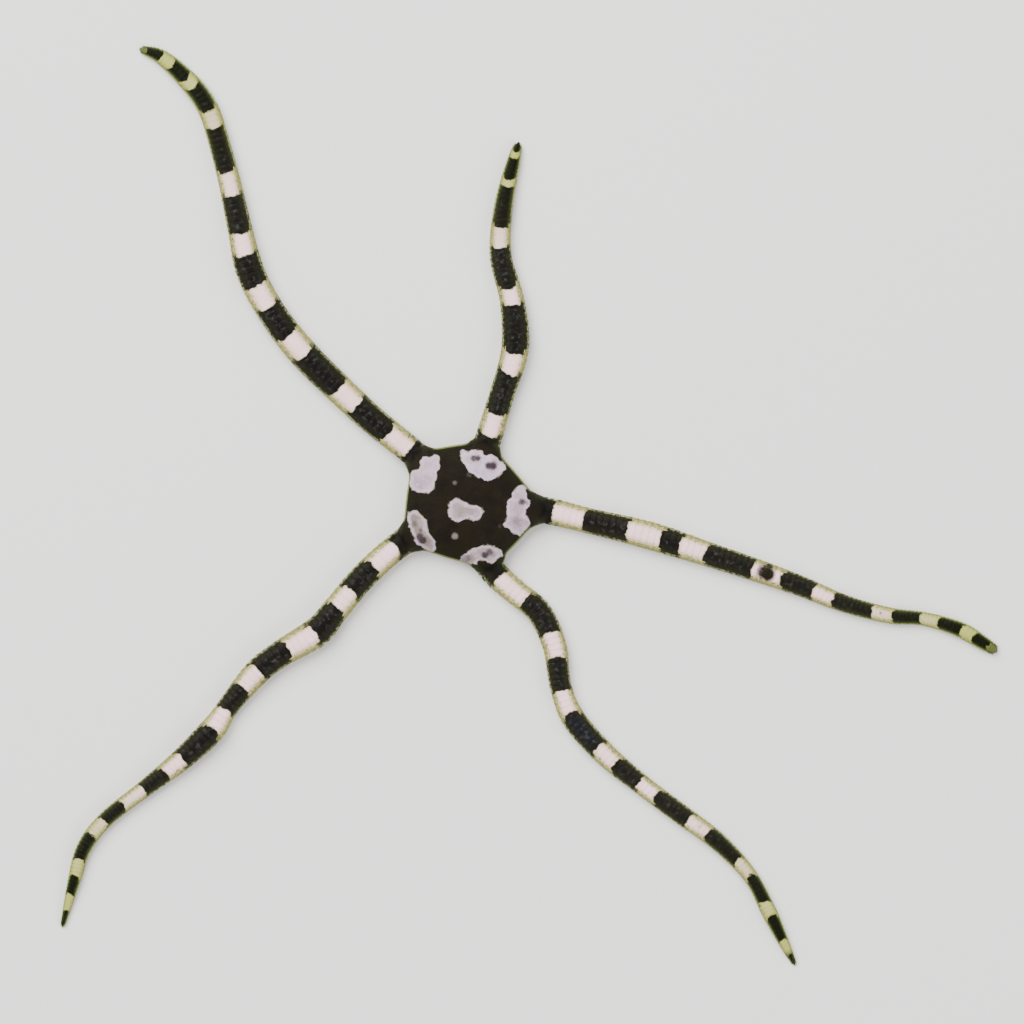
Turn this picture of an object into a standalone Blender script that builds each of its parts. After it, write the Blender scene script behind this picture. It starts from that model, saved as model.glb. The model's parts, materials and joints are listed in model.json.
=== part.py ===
"""A banded serpent star, a brittle star of the smooth-armed kind, lying flat as a life-size model.

Blender 4.5, metres, +Z up. The floor is z = 0. The origin is under the middle of the whole animal.
The disc is pentagonal, with an arm growing from each corner. Each arm is parted into four lengths.
The arms are numbered clockwise, seen from above, from the short one.
Sizes and places are in millimetres, and become metres where a mesh is built.
"""

import math
import random

import bmesh
import bpy
import numpy as np
from mathutils import Matrix, Vector

MM = 0.001
SEAM_GAP = 0.3  # between pieces that touch
SEED = 5

# The disc
DISC_CENTRE = Vector((-12.7, -0.3, 0.0))
DISC_HEIGHT = 6.2
SIDE_BOW = 0.8  # how far each side of the pentagon bulges
WEB = 0.7  # how softly the disc's edge runs into the side of an arm
WEB_REACH = 1.0  # how far past the pentagon's corner the disc covers an arm
RIM_POINTS_PER_SIDE = 11
RIM_CROWDING = 0.45  # how much closer the rim's points stand by the arms
# The disc's section, from the mouth round the rim to the middle of the back,
# as a share of the way out to the rim and a share of the height
DISC_SECTION = (
    (0.20, 0.15), (0.78, 0.15), (0.94, 0.22), (1.0, 0.42), (0.97, 0.62), (0.88, 0.78),
    (0.68, 0.92), (0.38, 0.99), (0.05, 1.0),
)

# The two small shields on the back above each arm, and the five shields round the mouth
RADIAL_SHIELD_REACH = 10.4  # from the disc's centre
RADIAL_SHIELD_OFFSET = 1.75  # from the arm's middle
RADIAL_SHIELD_SIZE = (1.6, 1.2, 1.2)
RADIAL_SHIELD_SINK = 0.3  # its middle lies this far under the back
ORAL_SHIELD_REACH = 6.6
ORAL_SHIELD_SIZE = (2.9, 2.2, 1.2)
ORAL_SHIELD_HEIGHT = 1.1

# The mouth and its five jaws
MOUTH_RADIUS = 4.4
MOUTH_TOP = 2.6
MOUTH_SIDES = 20
JAW_FLOOR = 0.3
JAW_POINT = 1.1  # from the middle of the mouth
JAW_SLIT = 0.8  # between two jaws
JAW_LIP = 0.85  # how much of the jaw's outline is left at its lowest face
PAPILLAE_PER_EDGE = 3
PAPILLA_ROOT_RADIUS = 0.3
PAPILLA_TIP_RADIUS = 0.13
PAPILLA_ROOT_DEPTH = 0.5  # inside the jaw's edge
PAPILLA_REACH = 0.12  # past the jaw's edge

# How far the pentagon's corner reaches along each arm, from the disc's centre
ARM_CORNER = {1: 13.2, 2: 15.2, 3: 12.8, 4: 13.9, 5: 14.4}
STUB_START = 3.4  # where the arm begins, inside the wall of the mouth
STUB_END = 16.4  # where an arm's first length begins

# Points that the middle of each arm passes through, as x and y, with its width there, spines included
ARM_ROUTES = {
    1: ((-8.5, 12.6, 5.2), (-5.6, 22.0, 4.9), (-2.9, 31.5, 5.4), (-3.5, 41.0, 4.8),
        (-5.8, 50.3, 4.3), (-5.2, 60.0, 3.8), (-3.2, 69.0, 2.8), (-2.1, 72.9, 1.5)),
    2: ((1.9, -0.8, 5.2), (12.5, -3.2, 5.0), (24.0, -6.0, 5.4), (35.6, -9.7, 4.8),
        (45.0, -12.8, 4.5), (54.0, -16.0, 4.1), (63.0, -19.6, 3.6), (72.0, -22.0, 3.3),
        (79.0, -22.7, 2.9), (86.1, -24.8, 3.3), (91.0, -27.6, 2.9), (93.8, -29.3, 1.9)),
    3: ((-8.1, -12.0, 5.2), (-3.2, -17.0, 4.9), (1.8, -21.2, 4.9), (5.0, -28.0, 4.7),
        (6.2, -36.0, 4.3), (8.8, -42.6, 4.7), (15.0, -49.7, 4.5), (22.3, -55.8, 4.0),
        (30.0, -61.6, 4.0), (37.8, -67.4, 3.7), (44.2, -74.2, 3.1), (48.0, -81.4, 3.2),
        (50.8, -87.2, 2.4), (53.3, -92.2, 1.2)),
    4: ((-25.0, -7.1, 5.2), (-32.6, -13.6, 5.2), (-38.8, -20.8, 5.3), (-42.5, -25.2, 5.8),
        (-50.0, -29.8, 5.2), (-54.8, -33.6, 5.1), (-60.2, -40.1, 4.3), (-63.6, -45.0, 5.1),
        (-69.7, -50.9, 4.4), (-77.2, -56.8, 3.5), (-84.8, -62.8, 3.3), (-89.2, -68.5, 3.2),
        (-91.3, -75.4, 2.7), (-93.7, -84.6, 1.2)),
    5: ((-23.2, 10.4, 5.3), (-31.5, 17.2, 5.5), (-38.5, 23.7, 5.7), (-45.3, 30.5, 5.8),
        (-51.2, 38.1, 5.5), (-55.8, 46.6, 5.5), (-58.1, 55.9, 4.8), (-60.2, 65.3, 4.4),
        (-62.7, 74.6, 4.2), (-64.4, 79.5, 4.2), (-67.6, 84.2, 4.0), (-73.5, 89.7, 3.1),
        (-78.2, 91.6, 1.6)),
}
LENGTH_NAMES = ("base", "inner", "outer", "tip")

# The arm's section up one side, from its flat belly: shares of the half-width and of the height
ARM_SECTION = ((0.42, 0.0), (0.88, 0.17), (1.0, 0.47), (0.78, 0.81), (0.28, 1.0))
ARM_HEIGHT = 0.74  # of the width
JOINT_LENGTH = 0.86  # of the arm's width there
NECK = 0.91  # how far an arm narrows between two joints
NECK_TOP = 0.95
PLATE_EDGE = 0.82  # where along a joint its plates are widest
TIP_LENGTH = 1.6
TIP_SECTIONS = ((0.25, 0.86), (0.65, 0.66), (1.0, 0.36))  # how far along the tip, and how wide

# The spines that lie along the sides of the arm, in shares of a joint and of the arm's height
SPINE_STANDOFF = 0.2
SPINE_ROOT_RADIUS = 0.33
SPINE_TIP_RADIUS = 0.14
SPINE_SIDES = 4
SPINE_ROOT_PLACE = 0.22
SPINE_TIP_PLACE = (0.74, 0.8)
SPINE_RISE = (0.3, 0.35)
SPINE_THICKNESS = (0.92, 1.08)
FULL_SPINE_WIDTH = 4.0  # on a narrower arm the spines are smaller

DARK = (0.022, 0.022, 0.017)
OLIVE = (0.12, 0.13, 0.06)
BUFF = (0.42, 0.38, 0.30)


def clear_scene():
    for leftover in list(bpy.data.objects):
        bpy.data.objects.remove(leftover)


def make_material(name, colour, roughness):
    material = bpy.data.materials.new(name)
    material.use_nodes = True
    shader = material.node_tree.nodes["Principled BSDF"]
    shader.inputs["Base Color"].default_value = (*colour, 1.0)
    shader.inputs["Roughness"].default_value = roughness
    shader.inputs["Metallic"].default_value = 0.0
    return material


def finish_mesh(shape, name, collection, origin):
    """Makes an object of a mesh that was built around an origin."""
    bmesh.ops.recalc_face_normals(shape, faces=shape.faces)
    bmesh.ops.triangulate(shape, faces=shape.faces)
    mesh = bpy.data.meshes.new(name)
    shape.to_mesh(mesh)
    shape.free()
    made = bpy.data.objects.new(name, mesh)
    made.location = origin * MM
    collection.objects.link(made)
    return made


def loft(name, rings, collection, origin):
    """A closed body through rings of points, each end closed by one face."""
    shape = bmesh.new()
    rows = [[shape.verts.new((point - origin) * MM) for point in ring] for ring in rings]
    for near, far in zip(rows, rows[1:]):
        for i, corner in enumerate(near):
            following = (i + 1) % len(near)
            shape.faces.new((corner, near[following], far[following], far[i]))
    shape.faces.new(rows[0][::-1])
    shape.faces.new(rows[-1])
    return finish_mesh(shape, name, collection, origin)


def add_cone(shape, root, tip, root_radius, tip_radius, sides):
    way = tip - root
    turn = way.to_track_quat("Z", "X").to_matrix().to_4x4()
    bmesh.ops.create_cone(
        shape, cap_ends=True, segments=sides, radius1=root_radius * MM, radius2=tip_radius * MM,
        depth=way.length * MM, matrix=Matrix.Translation((root + tip) / 2 * MM) @ turn,
    )


def keep_largest_surface(mesh):
    shape = bmesh.new()
    shape.from_mesh(mesh)
    unseen = set(shape.faces)
    surfaces = []
    while unseen:
        surface = [unseen.pop()]
        for face in surface:
            for edge in face.edges:
                fresh = [other for other in edge.link_faces if other in unseen]
                unseen.difference_update(fresh)
                surface.extend(fresh)
        surfaces.append(surface)
    surfaces.sort(key=len)
    scraps = [face for surface in surfaces[:-1] for face in surface]
    bmesh.ops.delete(shape, geom=scraps, context="FACES")
    shape.to_mesh(mesh)
    shape.free()


def helper_collection(name):
    """A collection for shapes that are joined to a piece or cut from it, and then removed."""
    helpers = bpy.data.collections.new(name)
    helpers.hide_render = True
    bpy.context.scene.collection.children.link(helpers)
    return helpers


def combine(body, helpers, operation):
    """Joins the closed shapes of a collection to a body, or cuts them from it."""
    for helper in helpers.objects:
        helper.hide_render = True
        helper.display_type = "WIRE"
    modifier = body.modifiers.new("combine", "BOOLEAN")
    modifier.operation = operation
    modifier.operand_type = "COLLECTION"
    modifier.collection = helpers
    modifier.solver = "MANIFOLD"
    graph = bpy.context.evaluated_depsgraph_get()
    result = bpy.data.meshes.new_from_object(body.evaluated_get(graph))
    body.modifiers.clear()
    body.data = result
    for helper in list(helpers.objects):
        bpy.data.objects.remove(helper)
    bpy.data.collections.remove(helpers)
    keep_largest_surface(body.data)


def dress(node, colour, roughness, parent):
    node.data.materials.clear()
    node.data.materials.append(make_material(node.name, colour, roughness))
    node.data.shade_smooth()
    node.data.set_sharp_from_angle(angle=math.radians(35))
    node.parent = parent


class Route:
    """The middle line of an arm: a smooth curve through its points, measured along its length."""

    STEPS = 24

    def __init__(self, points):
        knots = np.array(points, float)
        padded = np.vstack([2 * knots[0] - knots[1], knots, 2 * knots[-1] - knots[-2]])
        line = []
        for a, b, c, d in zip(padded, padded[1:], padded[2:], padded[3:]):
            for t in np.arange(self.STEPS) / self.STEPS:
                bend = (2 * a - 5 * b + 4 * c - d) * t**2 + (3 * b - 3 * c + d - a) * t**3
                line.append(b + 0.5 * ((c - a) * t + bend))
        line.append(knots[-1])
        self.line = np.array(line)
        steps = np.hypot(*np.diff(self.line[:, :2], axis=0).T)
        self.along = np.concatenate([[0.0], np.cumsum(steps)])
        self.length = float(self.along[-1])

    def column(self, index, distance):
        return float(np.interp(distance, self.along, self.line[:, index]))

    def place(self, distance):
        return Vector((self.column(0, distance), self.column(1, distance), 0.0))

    def width(self, distance):
        return self.column(2, distance)

    def across(self, distance):
        """The level way across the arm, to its left as seen from the disc."""
        reach = 0.8
        ahead = self.place(min(distance + reach, self.length))
        forward = (ahead - self.place(max(distance - reach, 0.0))).normalized()
        return Vector((-forward.y, forward.x, 0.0))


def arm_way(number):
    """The way from the disc's centre to the foot of an arm."""
    foot = Vector((*ARM_ROUTES[number][0][:2], 0.0))
    return (foot - DISC_CENTRE).normalized()


def arm_route(number):
    """An arm's route from inside the wall of the mouth out to its tip."""
    start = DISC_CENTRE + arm_way(number) * STUB_START
    return Route(((start.x, start.y, ARM_ROUTES[number][0][2]),) + ARM_ROUTES[number])


def arm_ring(route, distance, narrowing=1.0, lowering=1.0):
    """One section of an arm, standing across it with its belly on the floor."""
    half = (route.width(distance) / 2 - SPINE_STANDOFF) * narrowing
    height = route.width(distance) * ARM_HEIGHT * lowering
    place = route.place(distance)
    across = route.across(distance)
    right = [place - across * half * out + Vector((0.0, 0.0, height * up)) for out, up in ARM_SECTION]
    left = [place + across * half * out + Vector((0.0, 0.0, height * up)) for out, up in ARM_SECTION]
    return right + left[::-1]


def joints_between(route, start, end):
    """The two ends of each joint along a stretch of an arm. Joints shorten as the arm narrows."""
    ends = [start]
    while ends[-1] < end:
        ends.append(ends[-1] + JOINT_LENGTH * route.width(ends[-1]))
    stretch = (end - start) / (ends[-1] - start)
    ends = [start + (place - start) * stretch for place in ends]
    return list(zip(ends, ends[1:]))


def jointed_rings(route, start, end):
    """Rings for a stretch of joints, each widening to the edge of its plates and then drawn in."""
    rings = []
    for near, far in joints_between(route, start, end):
        rings.append(arm_ring(route, near, NECK, NECK_TOP))
        rings.append(arm_ring(route, near + (far - near) * PLATE_EDGE))
    rings.append(arm_ring(route, end, NECK, NECK_TOP))
    return rings


def make_side_spines(route, start, end, draw, collection):
    """A spine on each side of every joint, lying along the arm with its tip a little proud."""
    shape = bmesh.new()
    for near, far in joints_between(route, start, end):
        for side in (-1, 1):
            root_at = near + (far - near) * SPINE_ROOT_PLACE
            tip_at = near + (far - near) * draw.uniform(*SPINE_TIP_PLACE)
            size = draw.uniform(*SPINE_THICKNESS) * min(1.0, route.width(near) / FULL_SPINE_WIDTH)
            up = Vector((0.0, 0.0, route.width(root_at) * ARM_HEIGHT * draw.uniform(*SPINE_RISE)))
            root_out = route.width(root_at) / 2 - SPINE_STANDOFF - SPINE_ROOT_RADIUS * 1.3
            tip_out = route.width(tip_at) / 2 - SPINE_TIP_RADIUS
            root = route.place(root_at) + route.across(root_at) * side * root_out + up
            tip = route.place(tip_at) + route.across(tip_at) * side * tip_out + up
            add_cone(shape, root, tip, SPINE_ROOT_RADIUS * size, SPINE_TIP_RADIUS * size, SPINE_SIDES)
    return finish_mesh(shape, "side_spines", collection, Vector())


def make_arm(number, collection, parent):
    """The four lengths of one arm, parted by thin gaps, with their spines grown on."""
    draw = random.Random(SEED * 10 + number)
    route = arm_route(number)
    jointed_end = route.length - TIP_LENGTH
    parts = [float(part) for part in np.linspace(STUB_END - STUB_START, jointed_end, len(LENGTH_NAMES) + 1)]
    for name, start, end in zip(LENGTH_NAMES, parts, parts[1:]):
        start += SEAM_GAP / 2
        last = name == LENGTH_NAMES[-1]
        if not last:
            end -= SEAM_GAP / 2
        rings = jointed_rings(route, start, end)
        if last:
            rings += [arm_ring(route, end + TIP_LENGTH * out, size, size) for out, size in TIP_SECTIONS]
        length = loft(f"arm_{number}_{name}", rings, collection, route.place(start))
        spines = helper_collection("spines_to_join")
        make_side_spines(route, start, end, draw, spines)
        combine(length, spines, "UNION")
        dress(length, OLIVE, 0.45, parent)


def following_arm(number):
    return number % len(ARM_ROUTES) + 1


def side_distance(spot):
    """How far a spot lies outside the pentagon's bowed sides. It is negative inside them."""
    distances = []
    for number, corner in ARM_CORNER.items():
        following = following_arm(number)
        near = arm_way(number).xy * corner
        side = arm_way(following).xy * ARM_CORNER[following] - near
        outward = Vector((-side.y, side.x)).normalized()
        share = min(max((spot - near).dot(side) / side.length_squared, 0.0), 1.0)
        distances.append((spot - near).dot(outward) - 4.0 * SIDE_BOW * share * (1.0 - share))
    return max(distances)


def rim_distance(spot):
    """How far a spot lies outside the disc and its arms, whose edges run softly together."""
    distances = [side_distance(spot)]
    for points in ARM_ROUTES.values():
        stops = [Vector((0.0, 0.0))] + [Vector(point[:2]) - DISC_CENTRE.xy for point in points[:2]]
        half = points[0][2] / 2 - SPINE_STANDOFF
        for near, far in zip(stops, stops[1:]):
            share = min(max((spot - near).dot(far - near) / (far - near).length_squared, 0.0), 1.0)
            distances.append((spot - near - (far - near) * share).length - half)
    return -WEB * math.log(sum(math.exp(-distance / WEB) for distance in distances))


def rim_reach(way, limit):
    """How far the disc's rim lies from its centre in one direction, found by halving."""
    low, high = MOUTH_RADIUS, limit
    if rim_distance(way * high) < 0.0:
        return high
    while high - low > 0.01:
        middle = (low + high) / 2
        if rim_distance(way * middle) < 0.0:
            low = middle
        else:
            high = middle
    return low


def rim_points():
    """The disc's outline seen from above, around its centre."""
    points = []
    for number, corner in ARM_CORNER.items():
        following = following_arm(number)
        turn = arm_way(number).xy.angle_signed(arm_way(following).xy)
        for i in range(RIM_POINTS_PER_SIDE):
            share = (i + 0.5) / RIM_POINTS_PER_SIDE
            limit = WEB_REACH + (corner if share < 0.5 else ARM_CORNER[following])
            share -= RIM_CROWDING * math.sin(math.tau * share) / math.tau
            way = arm_way(number).xy @ Matrix.Rotation(turn * share, 2)
            points.append(way * rim_reach(way, limit))
    return points


def back_height(spot, outline):
    """How high the disc's back is above a spot near its rim, both measured from the disc's centre."""
    bearing = min(outline, key=lambda point: abs(point.angle(spot)))
    back = DISC_SECTION[:2:-1]
    share = spot.length / bearing.length
    return DISC_HEIGHT * float(np.interp(share, [out for out, _ in back], [up for _, up in back]))


def make_shield(name, place, size, way, collection):
    """A low oval plate, longest along a level direction."""
    shape = bmesh.new()
    turn = Matrix.Rotation(math.atan2(way.y, way.x), 4, "Z")
    stretch = Matrix.Diagonal((*(Vector(size) * MM), 1.0))
    bmesh.ops.create_uvsphere(shape, u_segments=10, v_segments=6, radius=0.5, matrix=turn @ stretch)
    return finish_mesh(shape, name, collection, place)


def make_disc(collection, parent):
    outline = rim_points()
    rings = []
    for out, up in DISC_SECTION:
        rings.append([DISC_CENTRE + Vector((*(point * out), DISC_HEIGHT * up)) for point in outline])
    disc = loft("disc", rings, collection, DISC_CENTRE)

    additions = helper_collection("pieces_to_join")
    for number in ARM_ROUTES:
        route = arm_route(number)
        foot = jointed_rings(route, 0.0, STUB_END - STUB_START - SEAM_GAP / 2)
        loft("arm_foot", foot, additions, DISC_CENTRE)
        way = arm_way(number)
        for side in (-1, 1):
            across = Vector((-way.y, way.x, 0.0)) * side
            spot = way * RADIAL_SHIELD_REACH + across * RADIAL_SHIELD_OFFSET
            spot.z = back_height(spot.xy, outline) - RADIAL_SHIELD_SINK
            make_shield("radial_shield", DISC_CENTRE + spot, RADIAL_SHIELD_SIZE, way, additions)
        between = (way + arm_way(following_arm(number))).normalized()
        place = DISC_CENTRE + between * ORAL_SHIELD_REACH
        place.z = ORAL_SHIELD_HEIGHT
        make_shield("oral_shield", place, ORAL_SHIELD_SIZE, between, additions)
    combine(disc, additions, "UNION")

    cutters = helper_collection("cutters")
    shape = bmesh.new()
    top = DISC_CENTRE + Vector((0.0, 0.0, MOUTH_TOP))
    bottom = DISC_CENTRE - Vector((0.0, 0.0, MOUTH_TOP))
    add_cone(shape, bottom, top, MOUTH_RADIUS, MOUTH_RADIUS, MOUTH_SIDES)
    finish_mesh(shape, "mouth_cutter", cutters, Vector())
    combine(disc, cutters, "DIFFERENCE")
    dress(disc, DARK, 0.5, parent)


def make_jaw(number, collection, parent):
    """A wedge that closes the mouth between two arms, with blunt papillae along its two edges."""
    ways = (arm_way(number).xy, arm_way(following_arm(number)).xy)
    middle = (ways[0] + ways[1]).normalized()
    reach = MOUTH_RADIUS * math.cos(math.pi / MOUTH_SIDES) - SEAM_GAP
    edges = []
    for way in ways:
        inward = (middle - way * way.dot(middle)).normalized()
        inner = way * math.sqrt(JAW_POINT**2 - (JAW_SLIT / 2) ** 2) + inward * JAW_SLIT / 2
        outer = way * math.sqrt(reach**2 - (JAW_SLIT / 2) ** 2) + inward * JAW_SLIT / 2
        edges.append((inner, outer, inward))
    arc = [edges[0][1].lerp(edges[1][1], share).normalized() * reach for share in (0.25, 0.5, 0.75)]
    outline = [edges[0][0], edges[0][1], *arc, edges[1][1], edges[1][0]]
    core = sum(outline, Vector((0.0, 0.0))) / len(outline)
    levels = ((JAW_FLOOR, JAW_LIP), (JAW_FLOOR * 2, 1.0), (MOUTH_TOP - SEAM_GAP, 1.0))
    rings = []
    for height, share in levels:
        rings.append([DISC_CENTRE + Vector((*core.lerp(point, share), height)) for point in outline])
    jaw = loft(f"jaw_{number}", rings, collection, DISC_CENTRE)

    papillae = helper_collection("papillae_to_join")
    shape = bmesh.new()
    for inner, outer, inward in edges:
        for i in range(PAPILLAE_PER_EDGE):
            spot = inner.lerp(outer, (i + 0.6) / PAPILLAE_PER_EDGE)
            root = DISC_CENTRE + Vector((*(spot + inward * PAPILLA_ROOT_DEPTH), JAW_FLOOR * 3.5))
            tip = DISC_CENTRE + Vector((*(spot - inward * PAPILLA_REACH), JAW_FLOOR * 1.5))
            add_cone(shape, root, tip, PAPILLA_ROOT_RADIUS, PAPILLA_TIP_RADIUS, SPINE_SIDES)
    finish_mesh(shape, "papillae", papillae, Vector())
    combine(jaw, papillae, "UNION")
    dress(jaw, BUFF, 0.55, parent)


def main():
    clear_scene()
    animal = bpy.data.collections.new("brittle_star")
    bpy.context.scene.collection.children.link(animal)
    origin = bpy.data.objects.new("brittle_star_origin", None)
    animal.objects.link(origin)
    make_disc(animal, origin)
    for number in ARM_ROUTES:
        make_jaw(number, animal, origin)
        make_arm(number, animal, origin)


main()
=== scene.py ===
"""The looks of a banded serpent star, laid flat on a pale floor and seen from straight above."""

import json
import math

import bmesh
import bpy
import numpy as np
from mathutils import Matrix, Vector
from mathutils.kdtree import KDTree

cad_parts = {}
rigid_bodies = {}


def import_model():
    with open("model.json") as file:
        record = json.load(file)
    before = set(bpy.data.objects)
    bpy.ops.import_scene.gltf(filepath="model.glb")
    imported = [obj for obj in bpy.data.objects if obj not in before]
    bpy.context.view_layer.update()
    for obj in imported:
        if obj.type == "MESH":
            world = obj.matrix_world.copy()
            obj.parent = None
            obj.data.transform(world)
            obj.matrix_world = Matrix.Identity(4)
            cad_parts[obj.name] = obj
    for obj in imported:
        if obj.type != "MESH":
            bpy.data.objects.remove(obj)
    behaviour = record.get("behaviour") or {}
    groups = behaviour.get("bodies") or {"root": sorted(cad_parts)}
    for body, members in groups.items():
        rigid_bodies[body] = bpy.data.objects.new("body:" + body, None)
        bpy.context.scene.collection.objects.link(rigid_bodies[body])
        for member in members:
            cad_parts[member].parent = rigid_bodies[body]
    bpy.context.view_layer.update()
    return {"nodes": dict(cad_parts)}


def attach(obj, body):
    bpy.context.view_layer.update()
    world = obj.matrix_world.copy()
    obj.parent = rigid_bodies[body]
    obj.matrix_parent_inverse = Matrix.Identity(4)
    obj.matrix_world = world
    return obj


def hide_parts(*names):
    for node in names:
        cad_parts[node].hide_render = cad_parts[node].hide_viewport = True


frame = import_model()

# The camera
# It looks straight down from about an arm's length, as the photograph does, with a long lens.
# One pixel of a 1024-pixel picture is a fifth of a millimetre at the height of the arms.

CAMERA_HEIGHT = 1.0
ARM_MID_HEIGHT = 0.003
PICTURE_SPAN = 0.2048
PICTURE_CENTRE = (-0.0035, -0.0013)
SENSOR = 36.0

camera = bpy.data.objects.new("camera", bpy.data.cameras.new("camera"))
bpy.context.scene.collection.objects.link(camera)
camera.location = (*PICTURE_CENTRE, CAMERA_HEIGHT)
camera.data.sensor_width = SENSOR
camera.data.lens = SENSOR * (CAMERA_HEIGHT - ARM_MID_HEIGHT) / PICTURE_SPAN
camera.data.clip_start = 0.01
bpy.context.scene.camera = camera

# The floor
# A plain, pale, matt board. It is only there to lie on.

FLOOR_HALF = 1.2
FLOOR_COLOUR = (0.80, 0.79, 0.77)

bpy.ops.mesh.primitive_plane_add(size=2 * FLOOR_HALF)
floor = bpy.context.object
floor.name = "floor"
board = bpy.data.materials.new("pale_board")
board.use_nodes = True
board_shader = board.node_tree.nodes["Principled BSDF"]
board_shader.inputs["Base Color"].default_value = (*FLOOR_COLOUR, 1.0)
board_shader.inputs["Roughness"].default_value = 0.9
floor.data.materials.append(board)

# The lights
# A wide soft box above and to the upper left, a weaker one from the lower right, and a pale room.

SOFT_BOXES = {
    "key_light": ((-0.45, 0.55, 0.9), 0.9, 30.0),
    "fill_light": ((0.7, -0.5, 0.6), 0.8, 9.0),
}
ROOM_COLOUR = (0.97, 0.98, 1.0)
ROOM_STRENGTH = 0.7

for light_name, (light_place, light_size, light_power) in SOFT_BOXES.items():
    soft_box = bpy.data.objects.new(light_name, bpy.data.lights.new(light_name, "AREA"))
    soft_box.data.size = light_size
    soft_box.data.energy = light_power
    soft_box.location = light_place
    soft_box.rotation_euler = (-Vector(light_place)).to_track_quat("-Z", "Y").to_euler()
    bpy.context.scene.collection.objects.link(soft_box)
room = bpy.data.worlds.new("room")
room.use_nodes = True
room.node_tree.nodes["Background"].inputs["Color"].default_value = (*ROOM_COLOUR, 1.0)
room.node_tree.nodes["Background"].inputs["Strength"].default_value = ROOM_STRENGTH
bpy.context.scene.world = room

# The arms
# Each is a chain of about ninety short joints, and each joint is a ring of four limy plates:
# one on the back, one on each side that carries the spines, and one on the belly.
# The plates overlap a little outwards, so a joint is widest just before its end.

MM = 0.001  # from here on, sizes are in millimetres unless their comment says otherwise
DISC_CENTRE = np.array([-12.7, -0.3])
FOOT_START = 3.4  # from the disc's centre to where an arm begins inside the mouth's wall
ARM_ROUTES = {  # x, y and the arm's width, from the disc to the tip
    1: ((-8.5, 12.6, 5.2), (-5.6, 22.0, 4.9), (-2.9, 31.5, 5.4), (-3.5, 41.0, 4.8),
        (-5.8, 50.3, 4.3), (-5.2, 60.0, 3.8), (-3.2, 69.0, 2.8), (-2.1, 72.9, 1.5)),
    2: ((1.9, -0.8, 5.2), (12.5, -3.2, 5.0), (24.0, -6.0, 5.4), (35.6, -9.7, 4.8),
        (45.0, -12.8, 4.5), (54.0, -16.0, 4.1), (63.0, -19.6, 3.6), (72.0, -22.0, 3.3),
        (79.0, -22.7, 2.9), (86.1, -24.8, 3.3), (91.0, -27.6, 2.9), (93.8, -29.3, 1.9)),
    3: ((-8.1, -12.0, 5.2), (-3.2, -17.0, 4.9), (1.8, -21.2, 4.9), (5.0, -28.0, 4.7),
        (6.2, -36.0, 4.3), (8.8, -42.6, 4.7), (15.0, -49.7, 4.5), (22.3, -55.8, 4.0),
        (30.0, -61.6, 4.0), (37.8, -67.4, 3.7), (44.2, -74.2, 3.1), (48.0, -81.4, 3.2),
        (50.8, -87.2, 2.4), (53.3, -92.2, 1.2)),
    4: ((-25.0, -7.1, 5.2), (-32.6, -13.6, 5.2), (-38.8, -20.8, 5.3), (-42.5, -25.2, 5.8),
        (-50.0, -29.8, 5.2), (-54.8, -33.6, 5.1), (-60.2, -40.1, 4.3), (-63.6, -45.0, 5.1),
        (-69.7, -50.9, 4.4), (-77.2, -56.8, 3.5), (-84.8, -62.8, 3.3), (-89.2, -68.5, 3.2),
        (-91.3, -75.4, 2.7), (-93.7, -84.6, 1.2)),
    5: ((-23.2, 10.4, 5.3), (-31.5, 17.2, 5.5), (-38.5, 23.7, 5.7), (-45.3, 30.5, 5.8),
        (-51.2, 38.1, 5.5), (-55.8, 46.6, 5.5), (-58.1, 55.9, 4.8), (-60.2, 65.3, 4.4),
        (-62.7, 74.6, 4.2), (-64.4, 79.5, 4.2), (-67.6, 84.2, 4.0), (-73.5, 89.7, 3.1),
        (-78.2, 91.6, 1.6)),
}
SPINE_STANDOFF = 0.2  # how much of an arm's half-width its spines take up
ARM_HEIGHT = 0.74  # of the width
TIP_HEIGHT = 0.25  # of the height, left at the very end
FLOOR_LIFT = 0.02
JOINT_LENGTH = 0.26  # of the width
JOINT_STATIONS = (0.0, 0.09, 0.4, 0.74, 0.92)  # where the rows of points lie along a joint
GIRTH_POINTS = 30
WIDEST_AT = 0.47  # of the height
BACK_ROUNDNESS = 2.25
BELLY_ROUNDNESS = 3.4
BACK_BOW = 0.2  # how far the middle of a back plate's edge runs ahead, in joints
BACK_SEAM = (0.72, 0.85)  # the sines of the turns where back and belly plates meet the side plates
BELLY_SEAM = (0.6, 0.85)
PLATE_START = (0.0, 0.14)  # where a plate rises and falls along a joint
PLATE_END = (0.9, 1.0)
PLATE_RELIEF = {"back": 0.14, "side": 0.16, "belly": 0.1}
RELIEF_WIDTH = 5.0  # the width of arm that reliefs and radii are given for
TIP_CAP = 0.9
TIP_MARGIN = 0.02
CAP_RINGS = 7
CURVE_STEPS = 24  # from one given point of an arm's line to the next
WAY_SPAN = 0.8  # how far ahead and behind an arm's way is read


def left_of(way):
    """The way that lies square to the left of another."""
    return np.stack([-way[..., 1], way[..., 0]], -1)


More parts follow.
